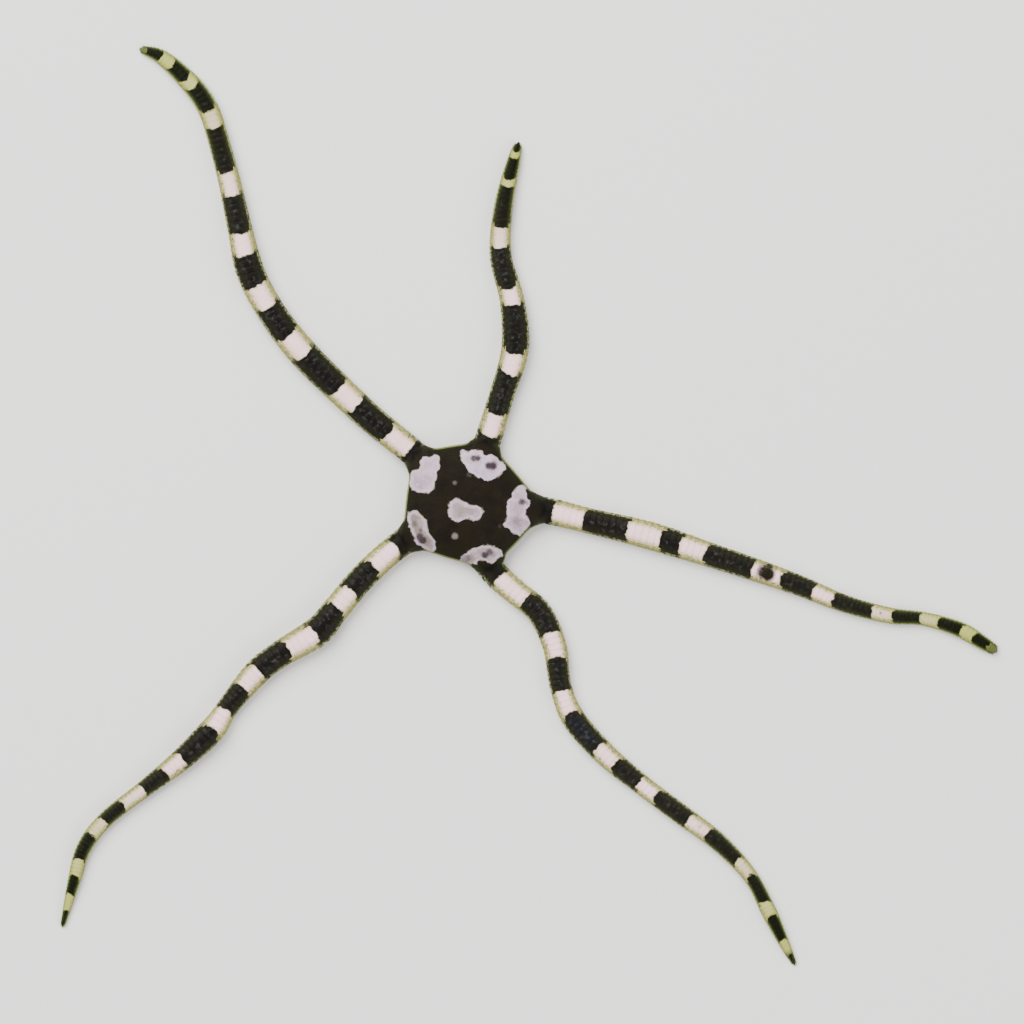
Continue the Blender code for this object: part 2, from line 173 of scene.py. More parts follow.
class ArmLine:
    """The middle line of an arm, by its distance from where it starts beside the mouth."""

    def __init__(self, points):
        foot = np.array(points[0][:2])
        way = (foot - DISC_CENTRE) / np.linalg.norm(foot - DISC_CENTRE)
        start = (*(DISC_CENTRE + way * FOOT_START), points[0][2])
        knots = np.array((start,) + points)
        padded = np.vstack([2 * knots[0] - knots[1], knots, 2 * knots[-1] - knots[-2]])
        steps = np.linspace(0.0, 1.0, CURVE_STEPS, endpoint=False)[:, None]
        stretches = []
        for a, b, c, d in zip(padded, padded[1:], padded[2:], padded[3:]):
            bend = (2 * a - 5 * b + 4 * c - d) * steps**2 + (3 * b - 3 * c + d - a) * steps**3
            stretches.append(b + 0.5 * ((c - a) * steps + bend))
        self.line = np.vstack(stretches + [knots[-1:]])
        lengths = np.hypot(*np.diff(self.line[:, :2], axis=0).T)
        self.along = np.concatenate([[0.0], np.cumsum(lengths)])
        self.length = self.along[-1]
        middle_width = (self.line[1:, 2] + self.line[:-1, 2]) / 2
        joints = np.cumsum(lengths / (JOINT_LENGTH * middle_width))
        self.joints = np.concatenate([[0.0], joints])

    def place(self, distance):
        return np.stack([np.interp(distance, self.along, self.line[:, i]) for i in (0, 1)], -1)

    def width(self, distance):
        return np.interp(distance, self.along, self.line[:, 2])

    def forward(self, distance):
        ahead = self.place(np.minimum(distance + WAY_SPAN, self.length))
        way = ahead - self.place(np.maximum(distance - WAY_SPAN, 0.0))
        return way / np.linalg.norm(way, axis=-1, keepdims=True)

    def across(self, distance):
        return left_of(self.forward(distance))

    def joint_at(self, distance):
        return np.interp(distance, self.along, self.joints)

    def distance_of(self, joint):
        return np.interp(joint, self.joints, self.along)


def soft_step(low, high, value):
    share = np.clip((value - low) / (high - low), 0.0, 1.0)
    return share * share * (3.0 - 2.0 * share)


def arm_section(turn):
    """Shares of the half-width and of the height round an arm, by an angle from its left side."""
    roundness = np.where(np.sin(turn) >= 0.0, BACK_ROUNDNESS, BELLY_ROUNDNESS)
    out = np.sign(np.cos(turn)) * np.abs(np.cos(turn)) ** (2.0 / roundness)
    up = np.sign(np.sin(turn)) * np.abs(np.sin(turn)) ** (2.0 / roundness)
    return out, WIDEST_AT + up * np.where(up >= 0.0, 1.0 - WIDEST_AT, WIDEST_AT)


def plate_relief(joint, turn):
    """How far the plates stand out, in millimetres on an arm of RELIEF_WIDTH."""
    phase = joint % 1.0
    rise = soft_step(*PLATE_START, phase) * (0.55 + 0.45 * phase) * (1.0 - soft_step(*PLATE_END, phase))
    back = soft_step(*BACK_SEAM, np.sin(turn))
    belly = soft_step(*BELLY_SEAM, -np.sin(turn))
    side = (1.0 - back) * (1.0 - belly)
    shares = {"back": back, "side": side, "belly": belly}
    return rise * sum(share * PLATE_RELIEF[plate] for plate, share in shares.items())


def arm_surface(line, distance, turn):
    """Places on an arm's skin, in millimetres. Distance and turn are arrays of one shape."""
    out, up = arm_section(turn)
    width = line.width(distance)
    cap = np.sqrt(np.clip((line.length + TIP_MARGIN - distance) / TIP_CAP, 0.0, 1.0))
    relief = plate_relief(line.joint_at(distance), turn) * width / RELIEF_WIDTH
    half = (width / 2 - SPINE_STANDOFF) * cap
    height = width * ARM_HEIGHT * (TIP_HEIGHT + (1.0 - TIP_HEIGHT) * cap)
    bowed = distance + BACK_BOW * JOINT_LENGTH * width * np.clip(np.sin(turn), 0.0, 1.0) ** 2
    bowed = np.minimum(bowed, line.length)
    place = line.place(bowed) + line.across(bowed) * ((half + relief) * out)[..., None]
    lift = FLOOR_LIFT + np.maximum(height * up + relief * np.sin(turn), 0.0)
    return np.concatenate([place, lift[..., None]], -1)


def mesh_from_rows(name, rows):
    """A closed mesh through rows of points, each row a loop, with a point in the middle of each end."""
    count = rows.shape[1]
    points = [tuple(point) for point in rows.reshape(-1, 3) * MM]
    faces = []
    for row in range(len(rows) - 1):
        for i in range(count):
            near, far = row * count + i, row * count + (i + 1) % count
            faces.append((near, far, far + count, near + count))
    for row in (0, len(rows) - 1):
        points.append(tuple(rows[row].mean(0) * MM))
        for i in range(count):
            faces.append((row * count + i, row * count + (i + 1) % count, len(points) - 1))
    mesh = bpy.data.meshes.new(name)
    mesh.from_pydata(points, [], faces)
    shape = bmesh.new()
    shape.from_mesh(mesh)
    bmesh.ops.recalc_face_normals(shape, faces=shape.faces)
    shape.to_mesh(mesh)
    shape.free()
    return mesh


arm_lines = {number: ArmLine(points) for number, points in ARM_ROUTES.items()}
girth_turns = np.arange(GIRTH_POINTS) / GIRTH_POINTS * math.tau
arm_pieces = bpy.data.collections.new("arm_pieces")
bpy.context.scene.collection.children.link(arm_pieces)
for arm_number, line in arm_lines.items():
    joints = np.arange(int(line.joints[-1]))[:, None] + np.array(JOINT_STATIONS)
    distances = line.distance_of(joints.ravel())
    distances = distances[distances < line.length - TIP_CAP]
    cap_turns = np.linspace(0.0, 0.98, CAP_RINGS) * math.pi / 2
    cap_distances = line.length - TIP_CAP * (1.0 - np.sin(cap_turns))
    distances = np.concatenate([distances, cap_distances])
    rows = arm_surface(line, *np.meshgrid(distances, girth_turns, indexing="ij"))
    arm_mesh = mesh_from_rows(f"arm_{arm_number}", rows)
    arm_pieces.objects.link(bpy.data.objects.new(f"arm_{arm_number}", arm_mesh))

# The disc
# A low, five-sided cushion of tough skin packed with limy grains. Its soft edge runs into the arms,
# which go on beneath it to the mouth. Two small shields lie under its skin above each arm, and five
# larger ones round the mouth. Narrow slits beside each arm's root let it breathe.

DISC_HEIGHT = 6.2
RIM_HEIGHT = 2.6
UNDERSIDE = 0.95
DOME_SHAPE = (2.9, 0.44)  # the powers that round the back towards the rim
BELLY_SHAPE = (6, 0.33)
ARM_CORNER = {1: 13.2, 2: 15.2, 3: 12.8, 4: 13.9, 5: 14.4}  # how far the disc runs out over each arm
SIDE_BOW = 0.8
WEB = 0.7  # how softly the edges of disc and arms run together
WEB_REACH = 1.0
RIM_POINTS = 300
RIM_HALVINGS = 12  # of the search for the rim, outwards from the mouth
BACK_RINGS = 52
BACK_HUB = 0.02  # the innermost rows, as shares of a quarter turn
BELLY_RINGS = 26
BELLY_HUB = 0.12
SWELLING_POWER = 0.75
RADIAL_SHIELD = {"reach": 10.4, "offset": 1.75, "size": (1.9, 1.3), "rise": 0.2}
ORAL_SHIELD = {"reach": 6.6, "size": (3.0, 2.3), "rise": 0.5}
SLIT = {"reach": 8.8, "offset": 3.3, "size": (4.6, 0.75), "depth": 0.55}
MOUTH_RADIUS = 4.4
MOUTH_TOP = 2.6

arm_ways = {}
for arm_number, points in ARM_ROUTES.items():
    foot = np.array(points[0][:2]) - DISC_CENTRE
    arm_ways[arm_number] = foot / np.linalg.norm(foot)


def next_arm(number):
    return number % len(arm_ways) + 1


def leg_share(spots, near, far):
    """How far along a straight leg spots lie, from nought at its near end to one at its far end."""
    leg = far - near
    return np.clip((spots - near) @ leg / (leg @ leg), 0.0, 1.0)


def leg_distance(spots, near, far):
    share = leg_share(spots, near, far)[..., None]
    return np.linalg.norm(spots - near - (far - near) * share, axis=-1)


def side_distance(spots):
    """How far spots round the disc's centre lie outside the pentagon's bowed sides."""
    distances = []
    for number, way in arm_ways.items():
        near, far = (arm_ways[arm] * ARM_CORNER[arm] for arm in (number, next_arm(number)))
        outward = left_of(far - near) / np.linalg.norm(far - near)
        share = leg_share(spots, near, far)
        distances.append((spots - near) @ outward - 4.0 * SIDE_BOW * share * (1.0 - share))
    return np.max(distances, axis=0)


def rim_distance(spots):
    """How far spots lie outside the disc and its arms, whose edges run softly together."""
    distances = [side_distance(spots)]
    for points in ARM_ROUTES.values():
        stops = [np.zeros(2)] + [np.array(point[:2]) - DISC_CENTRE for point in points[:2]]
        half = points[0][2] / 2 - SPINE_STANDOFF
        for near, far in zip(stops, stops[1:]):
            distances.append(leg_distance(spots, near, far) - half)
    return -WEB * np.log(np.sum(np.exp(-np.array(distances) / WEB), axis=0))


def swelling(spots, place, way, size):
    """A smooth oval rise, from nought at its edge to one in its middle."""
    lengthwise = (spots - place) @ way / size[0] * 2
    crosswise = (spots - place) @ left_of(way) / size[1] * 2
    return np.clip(1.0 - lengthwise**2 - crosswise**2, 0.0, 1.0) ** SWELLING_POWER


def beside_arms(spots, part):
    """A part's swelling on both sides of each arm's root, one after another."""
    for way in arm_ways.values():
        for side in (-1, 1):
            place = way * part["reach"] + left_of(way) * side * part["offset"]
            yield swelling(spots, place, way, part["size"])


def back_height(spots, share):
    """The height of the disc's back at spots, by their share of the way out to the rim."""
    dome = np.clip(1.0 - share**DOME_SHAPE[0], 0.0, 1.0) ** DOME_SHAPE[1]
    height = RIM_HEIGHT + (DISC_HEIGHT - RIM_HEIGHT) * dome
    for shield in beside_arms(spots, RADIAL_SHIELD):
        height = height + shield * RADIAL_SHIELD["rise"]
    return height


def shields_and_slits(spots):
    """How far into a shield beside the mouth, and into a breathing slit, each spot lies."""
    shields = []
    for number, way in arm_ways.items():
        between = way + arm_ways[next_arm(number)]
        between /= np.linalg.norm(between)
        shields.append(swelling(spots, between * ORAL_SHIELD["reach"], between, ORAL_SHIELD["size"]))
    return np.max(shields, axis=0), np.max(list(beside_arms(spots, SLIT)), axis=0)


def belly_height(spots, share):
    hollow = np.clip(1.0 - share**BELLY_SHAPE[0], 0.0, 1.0) ** BELLY_SHAPE[1]
    height = RIM_HEIGHT - (RIM_HEIGHT - UNDERSIDE) * hollow
    shield, slit = shields_and_slits(spots)
    return height - shield * ORAL_SHIELD["rise"] + slit * SLIT["depth"]


rim_turns = np.arange(RIM_POINTS) / RIM_POINTS * math.tau
rim_ways = np.stack([np.sin(rim_turns), np.cos(rim_turns)], -1)
arm_cover = np.array([ARM_CORNER[number] + WEB_REACH for number in ARM_ROUTES])
nearest_arm = np.argmax(rim_ways @ np.array(list(arm_ways.values())).T, axis=1)
low_reach = np.full(RIM_POINTS, MOUTH_RADIUS)
high_reach = arm_cover[nearest_arm]
for _ in range(RIM_HALVINGS):
    middle_reach = (low_reach + high_reach) / 2
    outside = rim_distance(rim_ways * middle_reach[:, None]) > 0.0
    high_reach = np.where(outside, middle_reach, high_reach)
    low_reach = np.where(outside, low_reach, middle_reach)
rim = rim_ways * low_reach[:, None]

belly_shares = np.sin(np.linspace(BELLY_HUB, 1.0, BELLY_RINGS, endpoint=False) * math.pi / 2)
back_shares = np.sin(np.linspace(1.0, BACK_HUB, BACK_RINGS) * math.pi / 2)
disc_rows = []
for shares, height_at in ((belly_shares, belly_height), (back_shares, back_height)):
    for share in shares:
        spots = rim * share
        disc_rows.append(np.column_stack([DISC_CENTRE + spots, height_at(spots, share)]))
skin = bpy.data.objects.new("skin", mesh_from_rows("skin", np.array(disc_rows)))
bpy.context.scene.collection.objects.link(skin)

mouth_pieces = bpy.data.collections.new("mouth_pieces")
bpy.context.scene.collection.children.link(mouth_pieces)
shape = bmesh.new()
bmesh.ops.create_cone(
    shape, cap_ends=True, segments=90, radius1=MOUTH_RADIUS * MM, radius2=MOUTH_RADIUS * MM,
    depth=2 * MOUTH_TOP * MM, matrix=Matrix.Translation((*(DISC_CENTRE * MM), 0.0)),
)
mouth_mesh = bpy.data.meshes.new("mouth")
shape.to_mesh(mouth_mesh)
shape.free()
mouth_pieces.objects.link(bpy.data.objects.new("mouth_cutter", mouth_mesh))
for helpers, operation in ((arm_pieces, "UNION"), (mouth_pieces, "DIFFERENCE")):
    joining = skin.modifiers.new(operation, "BOOLEAN")
    joining.operation = operation
    joining.operand_type = "COLLECTION"
    joining.collection = helpers
    joining.solver = "MANIFOLD"
joined = bpy.data.meshes.new_from_object(skin.evaluated_get(bpy.context.evaluated_depsgraph_get()))
skin.modifiers.clear()
skin.data = joined
for helpers in (arm_pieces, mouth_pieces):
    for helper in list(helpers.objects):
        bpy.data.objects.remove(helper)
    bpy.data.collections.remove(helpers)

# The fold between disc and arms
# The disc's skin runs over onto each arm in a soft fold, so the sharp crease of the join is eased.

CREASE_ANGLE = math.radians(22)
CREASE_REACH = (5.0, 17.5)
CREASE_SPREAD = 5
CREASE_ROUNDS = 12
SMALLEST_EDGE = 0.02

shape = bmesh.new()
shape.from_mesh(skin.data)
bmesh.ops.triangulate(shape, faces=[face for face in shape.faces if len(face.verts) > 4])
bmesh.ops.remove_doubles(shape, verts=shape.verts, dist=SMALLEST_EDGE * MM)
middle = Vector((*(DISC_CENTRE * MM), 0.0))
soft = set()
for edge in shape.edges:
    reach = ((edge.verts[0].co - middle).to_2d().length) / MM
    if CREASE_REACH[0] < reach < CREASE_REACH[1] and edge.is_manifold:
        if abs(edge.calc_face_angle(0.0)) > CREASE_ANGLE:
            soft.update(edge.verts)
for _ in range(CREASE_SPREAD):
    soft.update([edge.other_vert(vert) for vert in list(soft) for edge in vert.link_edges])
for _ in range(CREASE_ROUNDS):
    bmesh.ops.smooth_vert(
        shape, verts=list(soft), factor=0.5, use_axis_x=True, use_axis_y=True, use_axis_z=True,
    )
bmesh.ops.recalc_face_normals(shape, faces=shape.faces)
shape.to_mesh(skin.data)
shape.free()
skin.data.shade_smooth()

# The markings
# Pale bands ring each arm, and pale patches with paired dark spots lie over the arms' roots on the
# disc. The same markings run over skin and spines: each carries how far it lies inside a pale area.

PALE_BANDS = {  # from and to, along the arm from the disc's centre
    1: ((14.8, 19.2), (27.8, 32.0), (41.8, 45.2), (53.6, 57.6), (66.0, 67.4), (72.0, 73.4)),
    2: ((17.4, 23.6), (32.6, 39.4), (43.6, 48.8), (58.8, 64.8), (71.6, 76.0), (84.2, 88.4),
        (94.2, 97.6), (102.6, 105.4), (109.0, 112.0)),
    3: ((15.6, 22.4), (31.0, 36.0), (42.8, 47.6), (56.4, 61.0), (67.2, 71.4), (79.6, 84.2),
        (92.4, 96.4), (102.4, 105.4), (111.0, 114.2)),
    4: ((16.1, 21.9), (28.5, 32.9), (39.7, 45.9), (53.3, 57.9), (63.5, 68.1), (76.7, 81.1),
        (86.7, 91.7), (96.7, 100.5), (106.1, 109.5), (113.3, 116.7)),
    5: ((16.0, 21.2), (29.6, 34.6), (44.2, 49.2), (56.2, 61.0), (67.6, 72.0), (79.8, 84.6),
        (93.8, 97.4), (103.2, 105.4), (109.4, 112.0), (115.6, 116.8)),
}
BAND_BOW = 0.5  # how far the middle of a band's edges runs back towards the disc
BLUISH_BAND = (3, 47.6, 56.4)
PALE_PATCHES = {  # outlines round the disc's centre
    "upper_left": ((-11.0, 7.0), (-9.2, 7.6), (-9.0, 9.2), (-8.4, 10.0), (-7.0, 10.0), (-6.4, 10.6),
                   (-5.6, 10.4), (-5.2, 9.2), (-5.4, 7.4), (-6.0, 5.4), (-6.4, 3.8), (-7.2, 2.8),
                   (-9.2, 2.8), (-10.6, 3.4), (-11.2, 4.6)),
    "top": ((-1.0, 11.0), (-0.6, 11.4), (0.4, 11.0), (1.0, 11.4), (2.0, 11.6), (3.0, 11.0), (3.6, 10.4),
            (4.4, 10.2), (5.0, 10.6), (6.0, 10.2), (6.8, 9.4), (8.0, 8.4), (8.0, 7.6), (7.0, 6.6),
            (5.8, 5.6), (4.4, 5.2), (2.8, 5.8), (1.2, 6.6), (0.0, 7.8), (-0.8, 9.0)),
    "right": ((10.6, 4.2), (11.2, 4.6), (12.0, 3.8), (12.2, 2.6), (12.0, 1.6), (12.8, 1.2), (12.8, 0.4),
              (12.0, -0.4), (12.0, -1.4), (12.6, -2.6), (12.8, -3.6), (12.0, -4.6), (10.8, -5.6),
              (9.6, -5.2), (8.4, -4.2), (7.2, -3.6), (7.8, -2.8), (8.2, -1.8), (8.0, -0.2),
              (8.6, 1.4), (9.4, 2.8), (10.0, 3.6)),
    "lower_right": ((-1.6, -10.8), (-0.6, -9.8), (0.2, -8.8), (1.6, -8.4), (2.8, -7.8), (4.0, -7.6),
                    (5.2, -7.8), (6.4, -8.4), (7.4, -9.0), (7.4, -9.8), (6.4, -10.2), (5.6, -11.0),
                    (4.8, -11.2), (3.6, -10.8), (2.4, -11.0), (1.8, -11.8), (1.4, -12.4)),
    "lower_left": ((-11.6, -1.0), (-10.8, -0.8), (-9.6, -1.0), (-8.6, -1.8), (-8.0, -2.8), (-7.8, -4.2),
                   (-7.0, -5.6), (-6.0, -6.8), (-6.0, -8.2), (-6.6, -9.2), (-7.6, -8.8), (-8.4, -8.2),
                   (-9.6, -7.6), (-10.2, -6.2), (-11.0, -4.8), (-11.6, -3.4)),
    "centre": ((-3.4, 0.0), (-3.2, 1.0), (-2.2, 1.6), (-1.2, 1.6), (-0.4, 1.0), (0.6, 0.4), (2.2, 0.4),
               (3.0, -0.2), (3.6, -1.0), (3.2, -2.0), (2.4, -2.6), (1.6, -2.8), (0.6, -2.4),
               (-0.6, -2.6), (-1.6, -3.0), (-2.8, -2.6), (-3.2, -1.6), (-3.6, -0.6)),
}
PATCH_DULLNESS = {
    "upper_left": 0.12, "top": 0.0, "right": 0.25, "lower_right": 0.6, "lower_left": 0.8, "centre": 0.5,
}
DARK_SPOTS = (  # x, y, radius and strength, round the disc's centre
    (1.6, 9.7, 0.75, 0.85), (2.4, 9.7, 0.7, 0.85), (4.6, 8.2, 0.85, 0.95), (5.4, 8.2, 0.95, 0.95),
    (11.2, 1.0, 0.8, 0.8), (12.0, 0.8, 0.6, 0.5), (10.4, -3.0, 1.4, 0.35), (3.8, -9.6, 0.8, 0.9),
    (4.7, -9.0, 0.9, 0.75), (0.0, -10.4, 1.1, 0.55), (-9.2, -6.0, 0.9, 0.9), (-8.6, -6.6, 0.9, 0.95),
    (-10.3, -3.4, 0.8, 0.6), (-9.0, -4.6, 0.5, 0.6), (-9.0, 4.6, 1.4, 0.3),
)
PALE_FLECKS = (
    (-2.2, 4.8, 0.55, 0.6), (-2.2, -5.8, 0.75, 0.85), (6.8, -3.8, 0.5, 0.3), (0.6, 6.4, 0.7, 0.35),
)
ARM_SPOTS = (  # dark spots inside one pale band: arm, distance, side, radius and strength
    (2, 61.3, 0.1, 1.7, 0.92), (2, 62.2, 0.0, 1.6, 1.1), (2, 61.7, 1.3, 1.3, 0.88),
    (2, 86.2, 0.1, 0.4, 0.6), (3, 82.3, 0.2, 0.5, 0.5),
)
SPOT_SOFTNESS = (0.45, 1.35)  # of a spot's radius, where it fades out
LINE_STEP = 0.1  # between the samples of the arms' lines
ARM_START = (-0.3, 0.5)  # across the disc's sides, where the arms' colours take over
WEB_START = (-0.8, 0.4)
WEB_END = (14.0, 16.5)  # from the disc's centre, where the web between disc and arms fades out
WEB_LIP = 0.45
DISC_ZONE = 17.0  # beyond it, only an arm's own width gives its edge
ARM_BELLY = (0.12, 0.36)  # of an arm's height, where the underside's colours end
DISC_BELLY = (RIM_HEIGHT - 1.0, RIM_HEIGHT - 0.2)
# The waists are where the green line runs, which is partly painted rim light.
ARM_WAIST = {"height": 0.11, "reach": (0.14, 0.26)}  # of an arm's height, above its widest
DISC_WAIST = {"height": 0.45, "reach": (0.35, 0.8)}  # above the rim
BLUISH_HALF = 4.6


def inside_outline(spots, outline):
    """How far spots lie inside a closed outline. It is negative outside."""
    corners = np.array(outline)
    nearest = np.full(len(spots), np.inf)
    within = np.zeros(len(spots), bool)
    for near, far in zip(corners, np.roll(corners, -1, axis=0)):
        nearest = np.minimum(nearest, leg_distance(spots, near, far))
        if near[1] != far[1]:
            leg = far - near
            straddles = (near[1] > spots[:, 1]) != (far[1] > spots[:, 1])
            crossing = near[0] + (spots[:, 1] - near[1]) * leg[0] / leg[1]
            within ^= straddles & (spots[:, 0] < crossing)
    return np.where(within, nearest, -nearest)


def blobs(spots, marks):
    """The strongest of some round soft marks, given as x, y, radius and strength."""
    shades = []
    for x, y, radius, strength in marks:
        start, end = (share * radius for share in SPOT_SOFTNESS)
        shades.append(strength * (1.0 - soft_step(start, end, np.linalg.norm(spots - (x, y), axis=1))))
    return np.max(shades, axis=0)


line_samples = [(number, distance) for number, line in arm_lines.items()
                for distance in np.arange(0.0, line.length + LINE_STEP, LINE_STEP)]
nearest_sample = KDTree(len(line_samples))
for index, (number, distance) in enumerate(line_samples):
    nearest_sample.insert((*arm_lines[number].place(distance), 0.0), index)
nearest_sample.balance()


def markings(places):
    """What the skin's colours depend on at places in millimetres, as one array for each name."""
    spots = places[:, :2] - DISC_CENTRE
    found = [nearest_sample.find((x, y, 0.0))[1] for x, y in places[:, :2]]
    numbers = np.array([line_samples[index][0] for index in found])
    along = np.array([line_samples[index][1] for index in found])
    offset, half, joint, share = (np.zeros(len(places)) for _ in range(4))
    band = np.full(len(places), -9.0)
    for number, line in arm_lines.items():
        here = numbers == number
        distance = along[here]
        offset[here] = np.sum((places[here, :2] - line.place(distance)) * line.across(distance), axis=1)
        half[here] = line.width(distance) / 2 - SPINE_STANDOFF
        joint[here] = line.joint_at(distance)
        share[here] = distance / line.length
        bowed = distance + FOOT_START - BAND_BOW * np.clip(offset[here] / half[here], -1.0, 1.0) ** 2
        inside = [np.minimum(bowed - start, end - bowed) for start, end in PALE_BANDS[number]]
        band[here] = np.max(inside, axis=0)
    aside = side_distance(spots)
    arm = soft_step(*ARM_START, aside)
    out = np.linalg.norm(spots, axis=1)
    web = soft_step(*WEB_START, aside) * (1.0 - soft_step(*WEB_END, out))
    edge = np.where(out < DISC_ZONE, -rim_distance(spots) - WEB_LIP * web, half - np.abs(offset))
    shield, slit = shields_and_slits(spots)
    inside = np.array([inside_outline(spots, outline) for outline in PALE_PATCHES.values()])
    patch = np.max(inside, axis=0)
    dull = np.array([PATCH_DULLNESS[name] for name in PALE_PATCHES])[np.argmax(inside, axis=0)]
    height_share = places[:, 2] / ((half + SPINE_STANDOFF) * 2 * ARM_HEIGHT)
    arm_belly = 1.0 - soft_step(*ARM_BELLY, height_share)
    disc_belly = 1.0 - soft_step(*DISC_BELLY, places[:, 2])
    above_arm_waist = np.abs(height_share - WIDEST_AT - ARM_WAIST["height"])
    above_disc_waist = np.abs(places[:, 2] - RIM_HEIGHT - DISC_WAIST["height"])
    arm_waist = 1.0 - soft_step(*ARM_WAIST["reach"], above_arm_waist)
    disc_waist = 1.0 - soft_step(*DISC_WAIST["reach"], above_disc_waist)
    unrolled = np.column_stack([along + FOOT_START, offset])
    arm_spot = np.max([(numbers == spot[0]) * blobs(unrolled, [spot[1:]]) for spot in ARM_SPOTS], axis=0)
    from_bluish = np.abs(along + FOOT_START - np.mean(BLUISH_BAND[1:]))
    bluish = (numbers == BLUISH_BAND[0]) & (from_bluish < BLUISH_HALF)
    return {
        "pale": np.where(arm > 0.5, band, patch),
        "edge": edge,
        "shield": shield,
        "slit": slit,
        "belly": disc_belly + (arm_belly - disc_belly) * arm,
        "waist": disc_waist + (arm_waist - disc_waist) * arm * (1.0 - web),
        "web": web,
        "arm": arm,
        "joint": joint,
        "across": np.clip(offset / half, -1.2, 1.2),
        "reach": share * arm,
        "spot": np.maximum(blobs(spots, DARK_SPOTS) * (1.0 - arm), arm_spot),
        "fleck": blobs(spots, PALE_FLECKS) * (1.0 - arm),
        "bluish": bluish * arm,
        "dull": dull * (1.0 - arm),
    }


def write_marks(mesh, marks):
    for name, values in marks.items():
        mesh.attributes.new(name, "FLOAT", "POINT").data.foreach_set("value", values.astype(np.float32))


skin_places = np.empty(len(skin.data.vertices) * 3)
skin.data.vertices.foreach_get("co", skin_places)
write_marks(skin.data, markings(skin_places.reshape(-1, 3) / MM))

# The colour of the skin
# Near-black brown, mottled grey in the middle of each dark band, pinkish white in the pale ones, and
# yellow-green where the sides turn down, edged with partly painted rim light. The disc is set with fine
# grains, and the arms are satin.


def paint(red, green, blue):
    """A colour chart's values from 0 to 255 as the light that the surface gives back."""
    shares = [value / 255 for value in (red, green, blue)]
    return (*[s / 12.92 if s < 0.04045 else ((s + 0.055) / 1.055) ** 2.4 for s in shares], 1.0)


BROWN_BLACK = paint(13, 10, 9)
DISC_BROWN = paint(24, 19, 15)
DISC_OLIVE = paint(29, 25, 15)
MOTTLE_GREY = paint(58, 57, 57)
BLUE_GREY = paint(16, 17, 28)
OLIVE = paint(29, 29, 18)
TIP_OLIVE = paint(9, 13, 0)
TIP_FLANK = paint(64, 71, 34)
PINK_WHITE = paint(254, 206, 214)
CREAM = paint(220, 205, 178)
PALE_BORDER = paint(200, 183, 184)
DULL_BORDER = paint(170, 161, 152)
LILAC_WHITE = paint(196, 175, 192)
DULL_LILAC = paint(130, 117, 110)
CREAM_FLANK = paint(186, 178, 116)
GREY_FLANK = paint(57, 57, 48)
TIP_GREEN = paint(152, 160, 70)
OLIVE_END = paint(54, 66, 34)
PALE_SIDE = paint(156, 151, 90)
DARK_SIDE = paint(36, 36, 24)
# The line colours are partly the sides' own yellow-green and partly painted green rim light; the rim's
# colour is painted rim light only.
PALE_LINE_AND_RIM_LIGHT = paint(126, 132, 66)
GREEN_LINE_AND_RIM_LIGHT = paint(152, 158, 100)
TIP_LINE_AND_RIM_LIGHT = paint(156, 166, 98)
RIM_LIGHT_GREEN = paint(130, 138, 74)
DASH_DARK = paint(140, 144, 98)
DASH_PALE = paint(150, 152, 96)
DASH_BUFF = paint(128, 120, 84)
SPECK_OLIVE = paint(68, 68, 30)
SPOT_GREY = paint(56, 47, 50)
SPOT_OLIVE = paint(24, 22, 10)
FLECK_GREY = paint(114, 108, 102)
# Painted shade for the grooves between joints, in the pale bands.
GROOVE_SHADE_GREY = paint(176, 150, 140)
BELLY_CREAM = paint(206, 196, 160)
BELLY_OLIVE = paint(122, 112, 76)
# Painted shade for the grooves between joints, on the belly.
BELLY_GROOVE_SHADE = paint(84, 74, 46)
# Painted shade inside the breathing slits.
SLIT_SHADE_BROWN = paint(52, 45, 32)
UNEVENNESS = {  # the size in millimetres and the detail of each kind
    "coarse": (1.3, 2.0), "fine": (0.4, 2.0), "clouds": (1.6, 3.0), "mottle": (0.85, 3.0),
    "patches": (4.0, 2.0), "disc": (3.0, 4.0), "dashes": (0.28, 3.0), "specks": (0.35, 2.0),
    "gaps": (0.45, 2.0),
}
ROOT_ZONE = (0.1, 0.2)  # these three are shares of an arm's length
TIP_ZONE = (0.6, 0.95)
END_ZONE = (0.965, 0.98)
GRAIN_CELL = 0.24
BUMP_DEPTH = 0.1
SHEEN = 0.05


def add(tree, kind, inputs=None, **settings):
    """A node with its settings, and its inputs given as values, or as figures or sockets to link."""
    made = tree.nodes.new(kind)
    for name, value in settings.items():
        setattr(made, name, value)
    for name, value in (inputs or {}).items():
        if isinstance(value, Figure):
            value = value.socket
        if isinstance(value, bpy.types.NodeSocket):
            tree.links.new(value, made.inputs[name])
        else:
            made.inputs[name].default_value = value
    return made


def figure(tree, operation, *values):
    made = add(tree, "ShaderNodeMath", dict(enumerate(values)), operation=operation)
    return Figure(tree, made.outputs[0])


